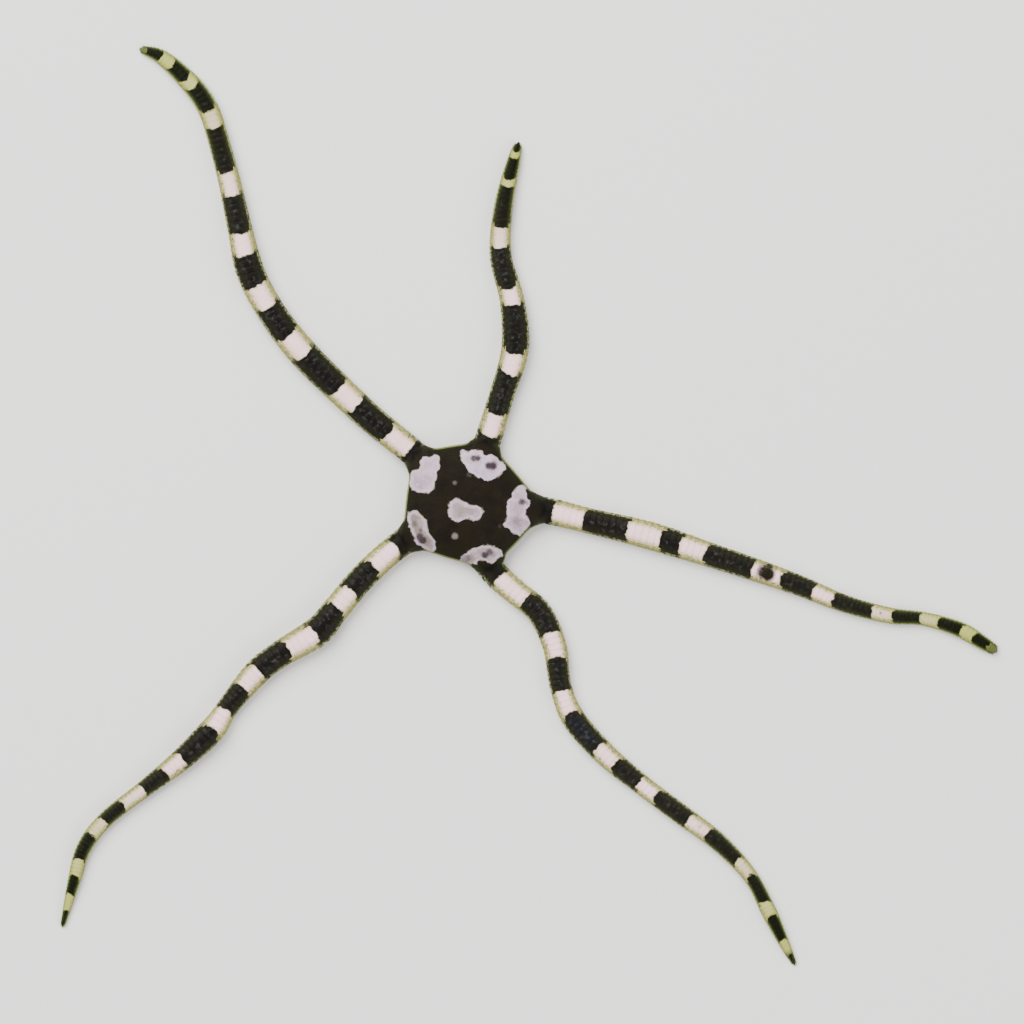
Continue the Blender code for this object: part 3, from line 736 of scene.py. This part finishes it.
class Figure:
    """A number that a tree of nodes works out, which goes into sums as any other number does."""

    def __init__(self, tree, socket):
        self.tree = tree
        self.socket = socket

    def __add__(self, other):
        return figure(self.tree, "ADD", self, other)

    def __sub__(self, other):
        return figure(self.tree, "SUBTRACT", self, other)

    def __rsub__(self, other):
        return figure(self.tree, "SUBTRACT", other, self)

    def __mul__(self, other):
        return figure(self.tree, "MULTIPLY", self, other)

    def __pow__(self, other):
        return figure(self.tree, "POWER", self, other)

    def __abs__(self):
        return figure(self.tree, "ABSOLUTE", self)

    def at_least(self, other):
        return figure(self.tree, "MAXIMUM", self, other)

    def at_most(self, other):
        return figure(self.tree, "MINIMUM", self, other)

    def fade(self, start, end):
        """Nought at start, one at end, with soft ends."""
        inputs = {"Value": self, "From Min": start, "From Max": end}
        made = add(self.tree, "ShaderNodeMapRange", inputs, interpolation_type="SMOOTHSTEP")
        return Figure(self.tree, made.outputs[0])

    def between(self, under, over):
        """The colour under where the figure is nought, over where it is one, and their blend between."""
        return add(self.tree, "ShaderNodeMix", {0: self, 6: under, 7: over}, data_type="RGBA").outputs[2]


def mark(tree, name):
    return Figure(tree, add(tree, "ShaderNodeAttribute", attribute_name=name).outputs["Fac"])


def coordinates(tree, vector_socket):
    parts = add(tree, "ShaderNodeSeparateXYZ", {0: vector_socket}).outputs
    return [Figure(tree, parts[axis]) for axis in "XYZ"]


def unevenness(tree, place, size, detail):
    """Soft noise round nought, with patches about as large as the given size in millimetres."""
    inputs = {"Vector": place, "Scale": 1 / (size * MM), "Detail": detail, "Roughness": 0.5}
    return Figure(tree, add(tree, "ShaderNodeTexNoise", inputs).outputs[0]) - 0.5


def make_skin_material(material_name, on_spines=False):
    material = bpy.data.materials.new(material_name)
    material.use_nodes = True
    tree = material.node_tree
    shader = tree.nodes["Principled BSDF"]
    place = add(tree, "ShaderNodeTexCoord").outputs["Object"]
    uneven = {name: unevenness(tree, place, *kind) for name, kind in UNEVENNESS.items()}
    coarse, fine = uneven["coarse"], uneven["fine"]
    arm, edge, across, reach, waist, belly, dull = (
        mark(tree, name) for name in ("arm", "edge", "across", "reach", "waist", "belly", "dull")
    )
    tip = reach.fade(*TIP_ZONE)

    # The pale bands and patches, from their borders inwards
    depth = mark(tree, "pale") + (coarse * 1.3 + fine * 0.35)
    white = depth.fade(-0.16, 0.2)
    cloudy = uneven["clouds"].fade(-0.16, 0.16)
    lilac = ((cloudy * 0.35 + dull) * depth.fade(0.0, 0.9)).between(LILAC_WHITE, DULL_LILAC)
    pinkish = (cloudy * 0.3).between(PINK_WHITE, CREAM)
    border = arm.between(dull.fade(0.0, 0.7).between(PALE_BORDER, DULL_BORDER), CREAM)
    pale_colour = (depth + cloudy * 0.7).fade(0.1, 0.9).between(border, arm.between(lilac, pinkish))
    aside = abs(across) + fine * 0.3
    flank = aside.fade(0.22, 0.96) * arm
    pale_colour = flank.between(pale_colour, CREAM_FLANK)
    pale_colour = (tip * 0.95).between(pale_colour, TIP_GREEN)

    # The dark bands, and the disc between its patches
    grown = reach.fade(*ROOT_ZONE)
    inner = depth.fade(-0.3, -1.6)
    patchy = (uneven["patches"].fade(-0.2, 0.2) + 0.4) * (inner * 0.7 + 0.3)
    mottle = uneven["mottle"].fade(0.0, 0.22) * grown * patchy.at_most(1.0)
    disc_colour = uneven["disc"].fade(-0.2, 0.2).between(DISC_BROWN, DISC_OLIVE)
    dark_colour = arm.between(disc_colour, BROWN_BLACK)
    dark_colour = (mark(tree, "bluish") * inner).between(dark_colour, BLUE_GREY)
    dark_colour = (flank * 0.25 * grown).between(dark_colour, GREY_FLANK)
    dark_colour = (mottle * 0.8).between(dark_colour, MOTTLE_GREY)
    fleck = (mark(tree, "fleck") + fine * 0.5).fade(0.12, 1.0)
    dark_colour = fleck.between(dark_colour, FLECK_GREY)
    dark_colour = (edge.fade(2.6, 0.3) * 0.75).between(dark_colour, OLIVE)
    tip_colour = aside.fade(0.5, 0.95).between(TIP_OLIVE, TIP_FLANK)
    dark_colour = (tip * 0.85).between(dark_colour, tip_colour)
    colour = white.between(dark_colour, pale_colour)
    spot = (mark(tree, "spot") + fine * 0.5).fade(0.0, 1.0)
    colour = spot.between(colour, arm.between(SPOT_GREY, SPOT_OLIVE))
    white = white * (1.0 - spot)

    # The sides, their specks, and the green line where they turn down, which breaks up into dashes and is
    # partly painted rim light
    dashes = uneven["dashes"] * 1.5
    side = (edge + dashes + tip * 0.3).fade(0.85, 0.25) * arm * 0.85
    dark_side = (tip * 0.8).between(DARK_SIDE, TIP_FLANK)
    colour = side.between(colour, white.between(dark_side, PALE_SIDE))
    specks = uneven["specks"].fade(0.05, 0.16) * arm * edge.fade(1.3, 0.7)
    specks = specks * (1.0 - tip * 0.7) * (white * 0.6 + 0.3)
    colour = specks.between(colour, white.between(GREY_FLANK, SPECK_OLIVE))
    unbroken = uneven["gaps"].fade(-0.08, 0.1).at_least(1.0 - arm).at_least(tip)
    # On the arms the line is partly the spines' own yellow-green and partly painted green rim light; on
    # the disc's rim and webs it is painted rim light only.
    line = (edge + dashes * 0.5 - tip * 0.08).fade(0.36, 0.1) * waist * unbroken
    green = arm.between(RIM_LIGHT_GREEN, tip.between(GREEN_LINE_AND_RIM_LIGHT, TIP_LINE_AND_RIM_LIGHT))
    green = mark(tree, "web").between(green, RIM_LIGHT_GREEN)
    colour = line.between(colour, white.between(green, PALE_LINE_AND_RIM_LIGHT))
    if on_spines:
        patch_place = add(tree, "ShaderNodeAttribute", attribute_name="patch_place").outputs["Vector"]
        upward = coordinates(tree, patch_place)[1]
        dash = (upward + coarse * 0.8).fade(0.4, 1.0) * edge.fade(0.65, 0.15)
        colour = (dash * 0.3).between(colour, DASH_BUFF)
        dash_colour = white.between(DASH_DARK, DASH_PALE)
        colour = (dash * waist * unbroken * 0.7).between(colour, dash_colour)
    end = reach.fade(*END_ZONE) * white
    colour = (end * 0.88).between(colour, OLIVE_END)

    # The underside, with its shields, and its slits darkened with painted shade
    belly_white = depth.fade(-0.7, 0.7) * (arm * 0.85)
    belly_white = belly_white.at_least(mark(tree, "shield").fade(0.02, 0.5))
    belly_colour = belly_white.between(BELLY_OLIVE, BELLY_CREAM)
    belly_colour = mark(tree, "slit").fade(0.1, 0.7).between(belly_colour, SLIT_SHADE_BROWN)
    colour = belly.between(colour, belly_colour)

    # Painted shade in the grooves between the joints
    phase = figure(tree, "FRACT", mark(tree, "joint"))
    below = belly * abs(across).fade(1.0, 0.9) * 0.7
    above = arm * (coarse + fine).fade(-0.2, 0.25) * 0.3
    # Darkens the grooves with painted shade.
    groove_shade = phase.at_most(1.0 - phase).fade(0.14, 0.0) * below.at_least(above)
    groove_shade_colour = belly.between(white.between(BROWN_BLACK, GROOVE_SHADE_GREY), BELLY_GROOVE_SHADE)
    tree.links.new(groove_shade.between(colour, groove_shade_colour), shader.inputs["Base Color"])

    # The finest grain, and the sheen
    grain = add(tree, "ShaderNodeTexVoronoi", {"Vector": place, "Scale": 1 / (GRAIN_CELL * MM)})
    grain = (1.0 - Figure(tree, grain.outputs["Distance"])) * (1.0 - arm)
    relief = {"Height": grain * 0.7 + fine * 0.6, "Strength": 0.35, "Distance": BUMP_DEPTH * MM}
    tree.links.new(add(tree, "ShaderNodeBump", relief).outputs[0], shader.inputs["Normal"])
    tree.links.new((coarse * 0.3 + 0.55).socket, shader.inputs["Roughness"])
    shader.inputs["Specular IOR Level"].default_value = SHEEN
    return material


skin.data.materials.clear()
skin.data.materials.append(make_skin_material("banded_skin"))
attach(skin, "root")
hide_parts(*[name for name in frame["nodes"] if name == "disc" or name.startswith("arm_")])

# The side spines
# Each side plate carries a row of eight short, blunt, flattened spines that lie close against the arm
# and point to its tip, overlapping the next joint's. They take the colour of the skin they grow from.

SPINE_TURNS = np.radians(np.linspace(-38.0, 46.0, 8))
SPINE_LENGTH = 0.95  # of a joint
SPINE_RADIUS = 0.17  # at the root, on an arm of RELIEF_WIDTH
SPINE_ROOT_PHASE = 0.5  # of a joint, from its start
SPINE_FLARE = math.radians(9)
SPINE_SINK = 0.02
SPINE_SPREAD = (0.85, 1.12)  # the least and the most of its length that chance gives a spine
SPINE_SHAPE = {"Sides": 6, "Flatness": 0.6, "Tip share": 0.6, "Bend": 0.25}
SPINE_SEED = 3
UPPER_SHORTENING = 0.12  # of the spines, up an arm's side
BAKE_PATCH = 0.003  # each spine's share of the unwrap, which has a strip for each arm
STRIP_MARGIN = 0.1
STRIP_RUN = (0.02, 0.95)


def field(tree, name, kind="FLOAT"):
    made = add(tree, "GeometryNodeInputNamedAttribute", {"Name": name}, data_type=kind)
    return Figure(tree, made.outputs[0])


def vector(tree, x=0.0, y=0.0, z=0.0):
    return add(tree, "ShaderNodeCombineXYZ", {"X": x, "Y": y, "Z": z}).outputs[0]


def chance(tree, seed, least, most):
    """A random figure for each thing that grows."""
    made = add(tree, "FunctionNodeRandomValue", {2: least, 3: most, "Seed": seed})
    return Figure(tree, made.outputs[1])


def growth_tree(name, *sizes):
    """A tree with a mesh, the named sizes, a seed and a material as its inputs, and those inputs."""
    tree = bpy.data.node_groups.new(name, "GeometryNodeTree")
    for size, kind in (("Geometry", "Geometry"), *sizes, ("Seed", "Int"), ("Material", "Material")):
        tree.interface.new_socket(size, in_out="INPUT", socket_type=f"NodeSocket{kind}")
    tree.interface.new_socket("Geometry", in_out="OUTPUT", socket_type="NodeSocketGeometry")
    return tree, tree.nodes.new("NodeGroupInput").outputs


def keep_patch_place(tree, growth, x, y):
    """Stores on one growth where its surface lies in its own small patch of the unwrap."""
    return add(tree, "GeometryNodeStoreNamedAttribute", {
        "Geometry": growth, "Name": "patch_place", "Value": vector(tree, x, y),
    }, data_type="FLOAT_VECTOR").outputs[0]


def plant(tree, given, points, growth, rotation, scale):
    """Plants a growth on points, puts each one's patch in the unwrap, and gives it its material."""
    planted = add(tree, "GeometryNodeInstanceOnPoints", {
        "Points": points, "Instance": growth, "Rotation": rotation, "Scale": scale,
    }).outputs[0]
    planted = add(tree, "GeometryNodeRealizeInstances", {"Geometry": planted}).outputs[0]
    patch = add(tree, "ShaderNodeVectorMath", {
        0: field(tree, "patch_place", "FLOAT_VECTOR"), 1: (BAKE_PATCH / 2, BAKE_PATCH, 0.0),
    }, operation="MULTIPLY").outputs[0]
    patch = add(tree, "ShaderNodeVectorMath", {
        0: patch, 1: field(tree, "skin_place", "FLOAT_VECTOR"),
    }, operation="ADD").outputs[0]
    kept = add(tree, "GeometryNodeStoreNamedAttribute", {
        "Geometry": planted, "Name": "OFBake", "Value": patch,
    }, data_type="FLOAT2", domain="CORNER").outputs[0]
    smooth = add(tree, "GeometryNodeSetShadeSmooth", {"Geometry": kept}).outputs[0]
    done = add(tree, "GeometryNodeSetMaterial", {"Geometry": smooth, "Material": given["Material"]})
    tree.links.new(done.outputs[0], tree.nodes.new("NodeGroupOutput").inputs[0])


spine_tree, given = growth_tree(
    "spine_rows", ("Sides", "Int"), ("Flatness", "Float"), ("Tip share", "Float"), ("Bend", "Float"),
)
spine = add(spine_tree, "GeometryNodeMeshCone", {
    "Vertices": given["Sides"], "Side Segments": 4, "Radius Top": given["Tip share"],
    "Radius Bottom": 1.0, "Depth": 1.0,
}).outputs["Mesh"]
wide, deep, high = coordinates(spine_tree, add(spine_tree, "GeometryNodeInputPosition").outputs[0])
along_spine = high.at_least(0.0) ** 0.7
rounding = figure(spine_tree, "SQRT", 1.0 - along_spine**5.0 * 0.96)
spine = keep_patch_place(spine_tree, spine, deep, along_spine)
flat = wide * rounding * given["Flatness"] - along_spine**2.0 * given["Bend"]
spine = add(spine_tree, "GeometryNodeSetPosition", {
    "Geometry": spine, "Position": vector(spine_tree, flat, deep * rounding, along_spine),
}).outputs[0]
turned = add(spine_tree, "FunctionNodeAlignRotationToVector",
             {"Vector": field(spine_tree, "lie", "FLOAT_VECTOR")}, axis="Z").outputs[0]
turned = add(spine_tree, "FunctionNodeAlignRotationToVector",
             {"Rotation": turned, "Vector": field(spine_tree, "outward", "FLOAT_VECTOR")},
             axis="X", pivot_axis="Z").outputs[0]
thickness = field(spine_tree, "thickness")
length = field(spine_tree, "length") * chance(spine_tree, given["Seed"], *SPINE_SPREAD)
spine_size = vector(spine_tree, thickness, thickness, length)
plant(spine_tree, given, given["Geometry"], spine, turned, spine_size)


def grow(roots_mesh, name, tree, sizes):
    """Runs a tree on a mesh of roots and keeps the result as a plain mesh."""
    piece = bpy.data.objects.new(name, roots_mesh)
    bpy.context.scene.collection.objects.link(piece)
    growth = piece.modifiers.new("growth", "NODES")
    growth.node_group = tree
    for item in tree.interface.items_tree:
        if item.in_out == "INPUT" and item.name in sizes:
            growth[item.identifier] = sizes[item.name]
    grown = bpy.data.meshes.new_from_object(piece.evaluated_get(bpy.context.evaluated_depsgraph_get()))
    piece.modifiers.clear()
    piece.data = grown
    return piece


def write_vectors(mesh, vectors):
    for name, values in vectors.items():
        attribute = mesh.attributes.new(name, "FLOAT_VECTOR", "POINT")
        attribute.data.foreach_set("vector", values.astype(np.float32).ravel())


def joint_roots(arm_number, start, turns, phase, flare, length, thickness, sink):
    """A mesh of one point for each turn round each joint, where something grows from an arm."""
    line = arm_lines[arm_number]
    first_joint = int(line.joint_at(start - FOOT_START))
    joints = np.arange(first_joint, int(line.joints[-1]) - 1)
    joint_grid, turn_grid = (part.ravel() for part in np.meshgrid(joints, turns, indexing="ij"))
    distance = line.distance_of(joint_grid + phase)
    width = line.width(distance)
    roots = arm_surface(line, distance, turn_grid)
    forward = np.column_stack([line.forward(distance), np.zeros(len(distance))])
    side = np.sign(np.cos(turn_grid))[:, None] * line.across(distance)
    outward = np.column_stack([side * np.abs(np.cos(turn_grid))[:, None], np.sin(turn_grid)])
    shortening = 1.0 - UPPER_SHORTENING * np.sin(turn_grid)
    strip_share = STRIP_MARGIN + (1 - 2 * STRIP_MARGIN) * (turn_grid / math.tau % 1.0)
    strip_run = STRIP_RUN[0] + STRIP_RUN[1] * distance / line.length
    mesh = bpy.data.meshes.new(f"arm_{arm_number}_roots")
    mesh.from_pydata([tuple(root) for root in (roots - outward * sink) * MM], [], [])
    write_marks(mesh, markings(roots))
    write_marks(mesh, {"length": length * JOINT_LENGTH * width * MM * shortening,
                       "thickness": thickness * width / RELIEF_WIDTH * MM})
    write_vectors(mesh, {
        "lie": forward * math.cos(flare) + outward * math.sin(flare),
        "outward": outward,
        "skin_place": np.column_stack([(arm_number - 1 + strip_share) / len(arm_lines), strip_run,
                                       np.zeros(len(distance))]),
    })
    return mesh


spine_material = make_skin_material("spine_skin", on_spines=True)
for arm_number in arm_lines:
    turns = np.concatenate([SPINE_TURNS, math.pi - SPINE_TURNS])
    roots = joint_roots(arm_number, ARM_CORNER[arm_number], turns, SPINE_ROOT_PHASE, SPINE_FLARE,
                        SPINE_LENGTH, SPINE_RADIUS, SPINE_SINK)
    spines = grow(roots, f"arm_{arm_number}_spines", spine_tree, {
        **SPINE_SHAPE, "Seed": SPINE_SEED + arm_number, "Material": spine_material,
    })
    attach(spines, "root")

# The tentacle scales
# Under each joint lie two flat oval scales, one on each side of the belly plate. Each one shuts the
# pore of a tube foot.

SCALE_TURNS = np.radians((-56.0, -124.0))
SCALE_LENGTH = 0.8
SCALE_RADIUS = 0.31
SCALE_ROOT_PHASE = 0.35
SCALE_FLARE = math.radians(-3)
SCALE_SINK = 0.07
SCALE_START = MOUTH_RADIUS + 1.0
SCALE_SHAPE = {"Sides": 8, "Flatness": 0.22, "Tip share": 0.85, "Bend": 0.1}

for arm_number in arm_lines:
    roots = joint_roots(arm_number, SCALE_START, SCALE_TURNS, SCALE_ROOT_PHASE, SCALE_FLARE,
                        SCALE_LENGTH, SCALE_RADIUS, SCALE_SINK)
    scales = grow(roots, f"arm_{arm_number}_scales", spine_tree, {
        **SCALE_SHAPE, "Seed": SPINE_SEED + arm_number, "Material": spine_material,
    })
    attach(scales, "root")

# The disc's grains
# Fine, low, rounded grains of lime lie packed over the disc, above and below, each with the colour of
# the skin that it sits in. They leave the mouth, the shields round it, the slits and the arms bare.

GRAIN = {  # side, then spacing and radius in metres
    "top": (1.0, 0.00023, 0.00014),
    "belly": (-1.0, 0.00032, 0.00018),
}
GRAIN_LOWNESS = 0.5
GRAIN_CROWD = 1.5e8  # tries for each square metre
GRAIN_SPREAD = (0.75, 1.1)
GRAIN_SEED = 11
GRAINS_REACH = 0.8  # how far they run out over the arms' roots
ARM_UNDERSIDE = 0.6  # the height under which the arms show through the disc's belly
MOUTH_MARGIN = 0.15
TOP_MARGIN = 0.3  # how far below the rim the grains of the top side run
BARE_SWELLING = 0.25  # how far into a shield or a slit the grains run
UNROLLED = {"height": 0.6, "reach": 20.0, "radius": 0.23}  # the disc's place in the unwrap
UNROLLED_CENTRES = (0.25, 0.75)  # of its top side and of its underside

grain_tree, given = growth_tree(
    "packed_grains", ("Side", "Float"), ("Spacing", "Float"), ("Size", "Float"), ("Crowd", "Float"),
    ("Lowness", "Float"),
)
on_side = figure(grain_tree, "GREATER_THAN", field(grain_tree, "grainy") * given["Side"], 0.5)
scattered = add(grain_tree, "GeometryNodeDistributePointsOnFaces", {
    "Mesh": given["Geometry"], "Selection": on_side, "Distance Min": given["Spacing"],
    "Density Max": given["Crowd"], "Seed": given["Seed"],
}, distribute_method="POISSON").outputs
grain = add(grain_tree, "GeometryNodeMeshIcoSphere", {"Radius": 1.0, "Subdivisions": 1}).outputs["Mesh"]
wide, deep, high = coordinates(grain_tree, add(grain_tree, "GeometryNodeInputPosition").outputs[0])
grain = keep_patch_place(grain_tree, grain, wide, deep)
size = chance(grain_tree, given["Seed"], *GRAIN_SPREAD) * given["Size"]
grain_scale = vector(grain_tree, size, size, size * given["Lowness"])
plant(grain_tree, given, scattered["Points"], grain, scattered["Rotation"], grain_scale)

skin_spots = skin_places.reshape(-1, 3)[:, :2] / MM - DISC_CENTRE
skin_heights = skin_places.reshape(-1, 3)[:, 2] / MM
reach = np.linalg.norm(skin_spots, axis=1)
top_side = skin_heights > RIM_HEIGHT - TOP_MARGIN
bare_below = np.maximum(*shields_and_slits(skin_spots)) > BARE_SWELLING
bare_below |= reach < MOUTH_RADIUS + MOUTH_MARGIN
on_an_arm = (side_distance(skin_spots) > GRAINS_REACH) | (skin_heights < ARM_UNDERSIDE)
bare = on_an_arm | (bare_below & ~top_side)
write_marks(skin.data, {"grainy": np.where(bare, 0.0, np.where(top_side, 1.0, -1.0))})
drop = np.abs(skin_heights - np.where(top_side, DISC_HEIGHT, UNDERSIDE))
unrolled = (reach + UNROLLED["height"] * drop) / UNROLLED["reach"] * UNROLLED["radius"]
around = np.arctan2(skin_spots[:, 1], skin_spots[:, 0])
write_vectors(skin.data, {"skin_place": np.column_stack([
    np.where(top_side, *UNROLLED_CENTRES) + unrolled * np.cos(around),
    0.5 + unrolled * np.sin(around),
    reach * 0.0,
])})
grain_material = make_skin_material("grain_skin")
for grain_name, (grain_side, spacing, grain_size) in GRAIN.items():
    grains = grow(skin.data.copy(), f"disc_{grain_name}_grains", grain_tree, {
        "Side": grain_side, "Spacing": spacing, "Size": grain_size, "Crowd": GRAIN_CROWD,
        "Lowness": GRAIN_LOWNESS, "Seed": GRAIN_SEED, "Material": grain_material,
    })
    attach(grains, "root")

# The jaws
# Five chalky wedges point to the middle of the mouth, each a pair of plates grown together along a
# seam. Blunt papillae fringe the edges, and a stack of short teeth stands at the point of each.

JAW_FLOOR = 0.3
JAW_TOP = 2.3
JAW_POINT = 1.1
JAW_REACH = 4.05
JAW_SLIT = 0.8
JAW_SEAM = {"depth": 0.16, "width": 0.14}
JAW_OUTLINE = 72  # points round a jaw
JAW_SOFTENING = 6
JAW_PROFILE = (  # shares of the way out and of the way up, from under the middle to above it
    (0.06, 0.02), (0.3, 0.0), (0.55, 0.0), (0.75, 0.02), (0.88, 0.07), (0.96, 0.17),
    (1.0, 0.32), (1.0, 0.7), (1.0, 0.97), (0.97, 1.0), (0.5, 1.0), (0.06, 1.0),
)
PAPILLAE = 7  # along each edge
PAPILLA = {"length": 0.62, "thickness": 0.19, "height": 0.72, "first": 0.25, "run": 0.86, "sunk": 0.6}
PAPILLA_LEAN = {"out": 0.8, "inwards": 0.35, "down": 0.42}
TOOTH = {"length": 0.5, "thickness": 0.24, "heights": (0.62, 1.0, 1.38, 1.76), "sunk": 0.12, "down": 0.15}
BUD_SHAPE = {"Sides": 10, "Flatness": 0.75, "Tip share": 0.6, "Bend": 0.1}
CHALK = paint(205, 192, 158)
CHALK_SHADE = paint(150, 134, 98)
CHALK_PITS = 0.06

chalk = bpy.data.materials.new("chalky_plate")
chalk.use_nodes = True
chalk_tree = chalk.node_tree
chalk_shader = chalk_tree.nodes["Principled BSDF"]
chalk_place = add(chalk_tree, "ShaderNodeTexCoord").outputs["Object"]
stain = unevenness(chalk_tree, chalk_place, 0.5, 4.0).fade(-0.15, 0.3)
chalk_tree.links.new(stain.between(CHALK, CHALK_SHADE), chalk_shader.inputs["Base Color"])
pits = add(chalk_tree, "ShaderNodeBump", {
    "Height": unevenness(chalk_tree, chalk_place, 0.12, 3.0), "Strength": 0.4, "Distance": CHALK_PITS * MM,
})
chalk_tree.links.new(pits.outputs[0], chalk_shader.inputs["Normal"])
chalk_shader.inputs["Roughness"].default_value = 0.75

buds = []  # root, lie, outward, length and thickness of each papilla and tooth
for number, way in arm_ways.items():
    ways = (way, arm_ways[next_arm(number)])
    middle = sum(ways) / np.linalg.norm(sum(ways))
    edges = []
    for side in ways:
        inward = middle - side * (side @ middle)
        inward *= JAW_SLIT / 2 / np.linalg.norm(inward)
        near, far = (side * math.sqrt(reach**2 - (JAW_SLIT / 2) ** 2) + inward
                     for reach in (JAW_POINT, JAW_REACH))
        edges.append((near, far))
        for share in (np.arange(PAPILLAE) + PAPILLA["first"]) / PAPILLAE * PAPILLA["run"]:
            root = (*(near + (far - near) * share + inward * PAPILLA["sunk"]), PAPILLA["height"])
            lean = -inward / (JAW_SLIT / 2) * PAPILLA_LEAN["out"] - side * PAPILLA_LEAN["inwards"]
            lie = (*lean, -PAPILLA_LEAN["down"])
            buds.append((root, lie, (*side, 0.0), PAPILLA["length"], PAPILLA["thickness"]))
    for height in TOOTH["heights"]:
        root = (*(middle * (JAW_POINT + TOOTH["sunk"])), height)
        lie = (*-middle, -TOOTH["down"])
        buds.append((root, lie, (0.0, 0.0, -1.0), TOOTH["length"], TOOTH["thickness"]))
    (near, far), (last_near, last_far) = edges
    arc = [far + (last_far - far) * share for share in (0.25, 0.5, 0.75)]
    arc = [point * JAW_REACH / np.linalg.norm(point) for point in arc]
    outline = np.array([near, far, *arc, last_far, last_near, near])
    along = np.concatenate([[0.0], np.cumsum(np.linalg.norm(np.diff(outline, axis=0), axis=1))])
    stops = np.linspace(0.0, along[-1], JAW_OUTLINE, endpoint=False)
    outline = np.stack([np.interp(stops, along, outline[:, i]) for i in (0, 1)], -1)
    for _ in range(JAW_SOFTENING):
        outline = (np.roll(outline, 1, axis=0) + 2 * outline + np.roll(outline, -1, axis=0)) / 4
    hub = outline.mean(0)
    jaw_rows = []
    for share, height in JAW_PROFILE:
        spots = hub + (outline - hub) * share
        aside = (spots - hub) @ left_of(middle)
        seam = JAW_SEAM["depth"] * np.exp(-(aside / JAW_SEAM["width"]) ** 2) * (height < 0.2)
        lift = JAW_FLOOR + (JAW_TOP - JAW_FLOOR) * height + seam
        jaw_rows.append(np.column_stack([DISC_CENTRE + spots, lift]))
    jaw_name = f"jaw_plates_{number}"
    jaw = bpy.data.objects.new(jaw_name, mesh_from_rows(jaw_name, np.array(jaw_rows)))
    bpy.context.scene.collection.objects.link(jaw)
    jaw.data.shade_smooth()
    jaw.data.materials.append(chalk)
    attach(jaw, "root")
    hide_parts(f"jaw_{number}")

roots, lies, outwards, lengths, thicknesses = (np.array(column) for column in zip(*buds))
roots[:, :2] += DISC_CENTRE
lies /= np.linalg.norm(lies, axis=1, keepdims=True)
bud_numbers = np.arange(len(buds))
bud_patches = [bud_numbers % 10 / 10 + 0.05, bud_numbers // 10 / 10 + 0.02, bud_numbers * 0.0]
buds_mesh = bpy.data.meshes.new("papilla_roots")
buds_mesh.from_pydata([tuple(root) for root in roots * MM], [], [])
write_marks(buds_mesh, {"length": lengths * MM, "thickness": thicknesses * MM})
write_vectors(buds_mesh, {"lie": lies, "outward": outwards, "skin_place": np.column_stack(bud_patches)})
papillae = grow(buds_mesh, "papillae", spine_tree, {
    **BUD_SHAPE, "Seed": SPINE_SEED, "Material": chalk,
})
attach(papillae, "root")
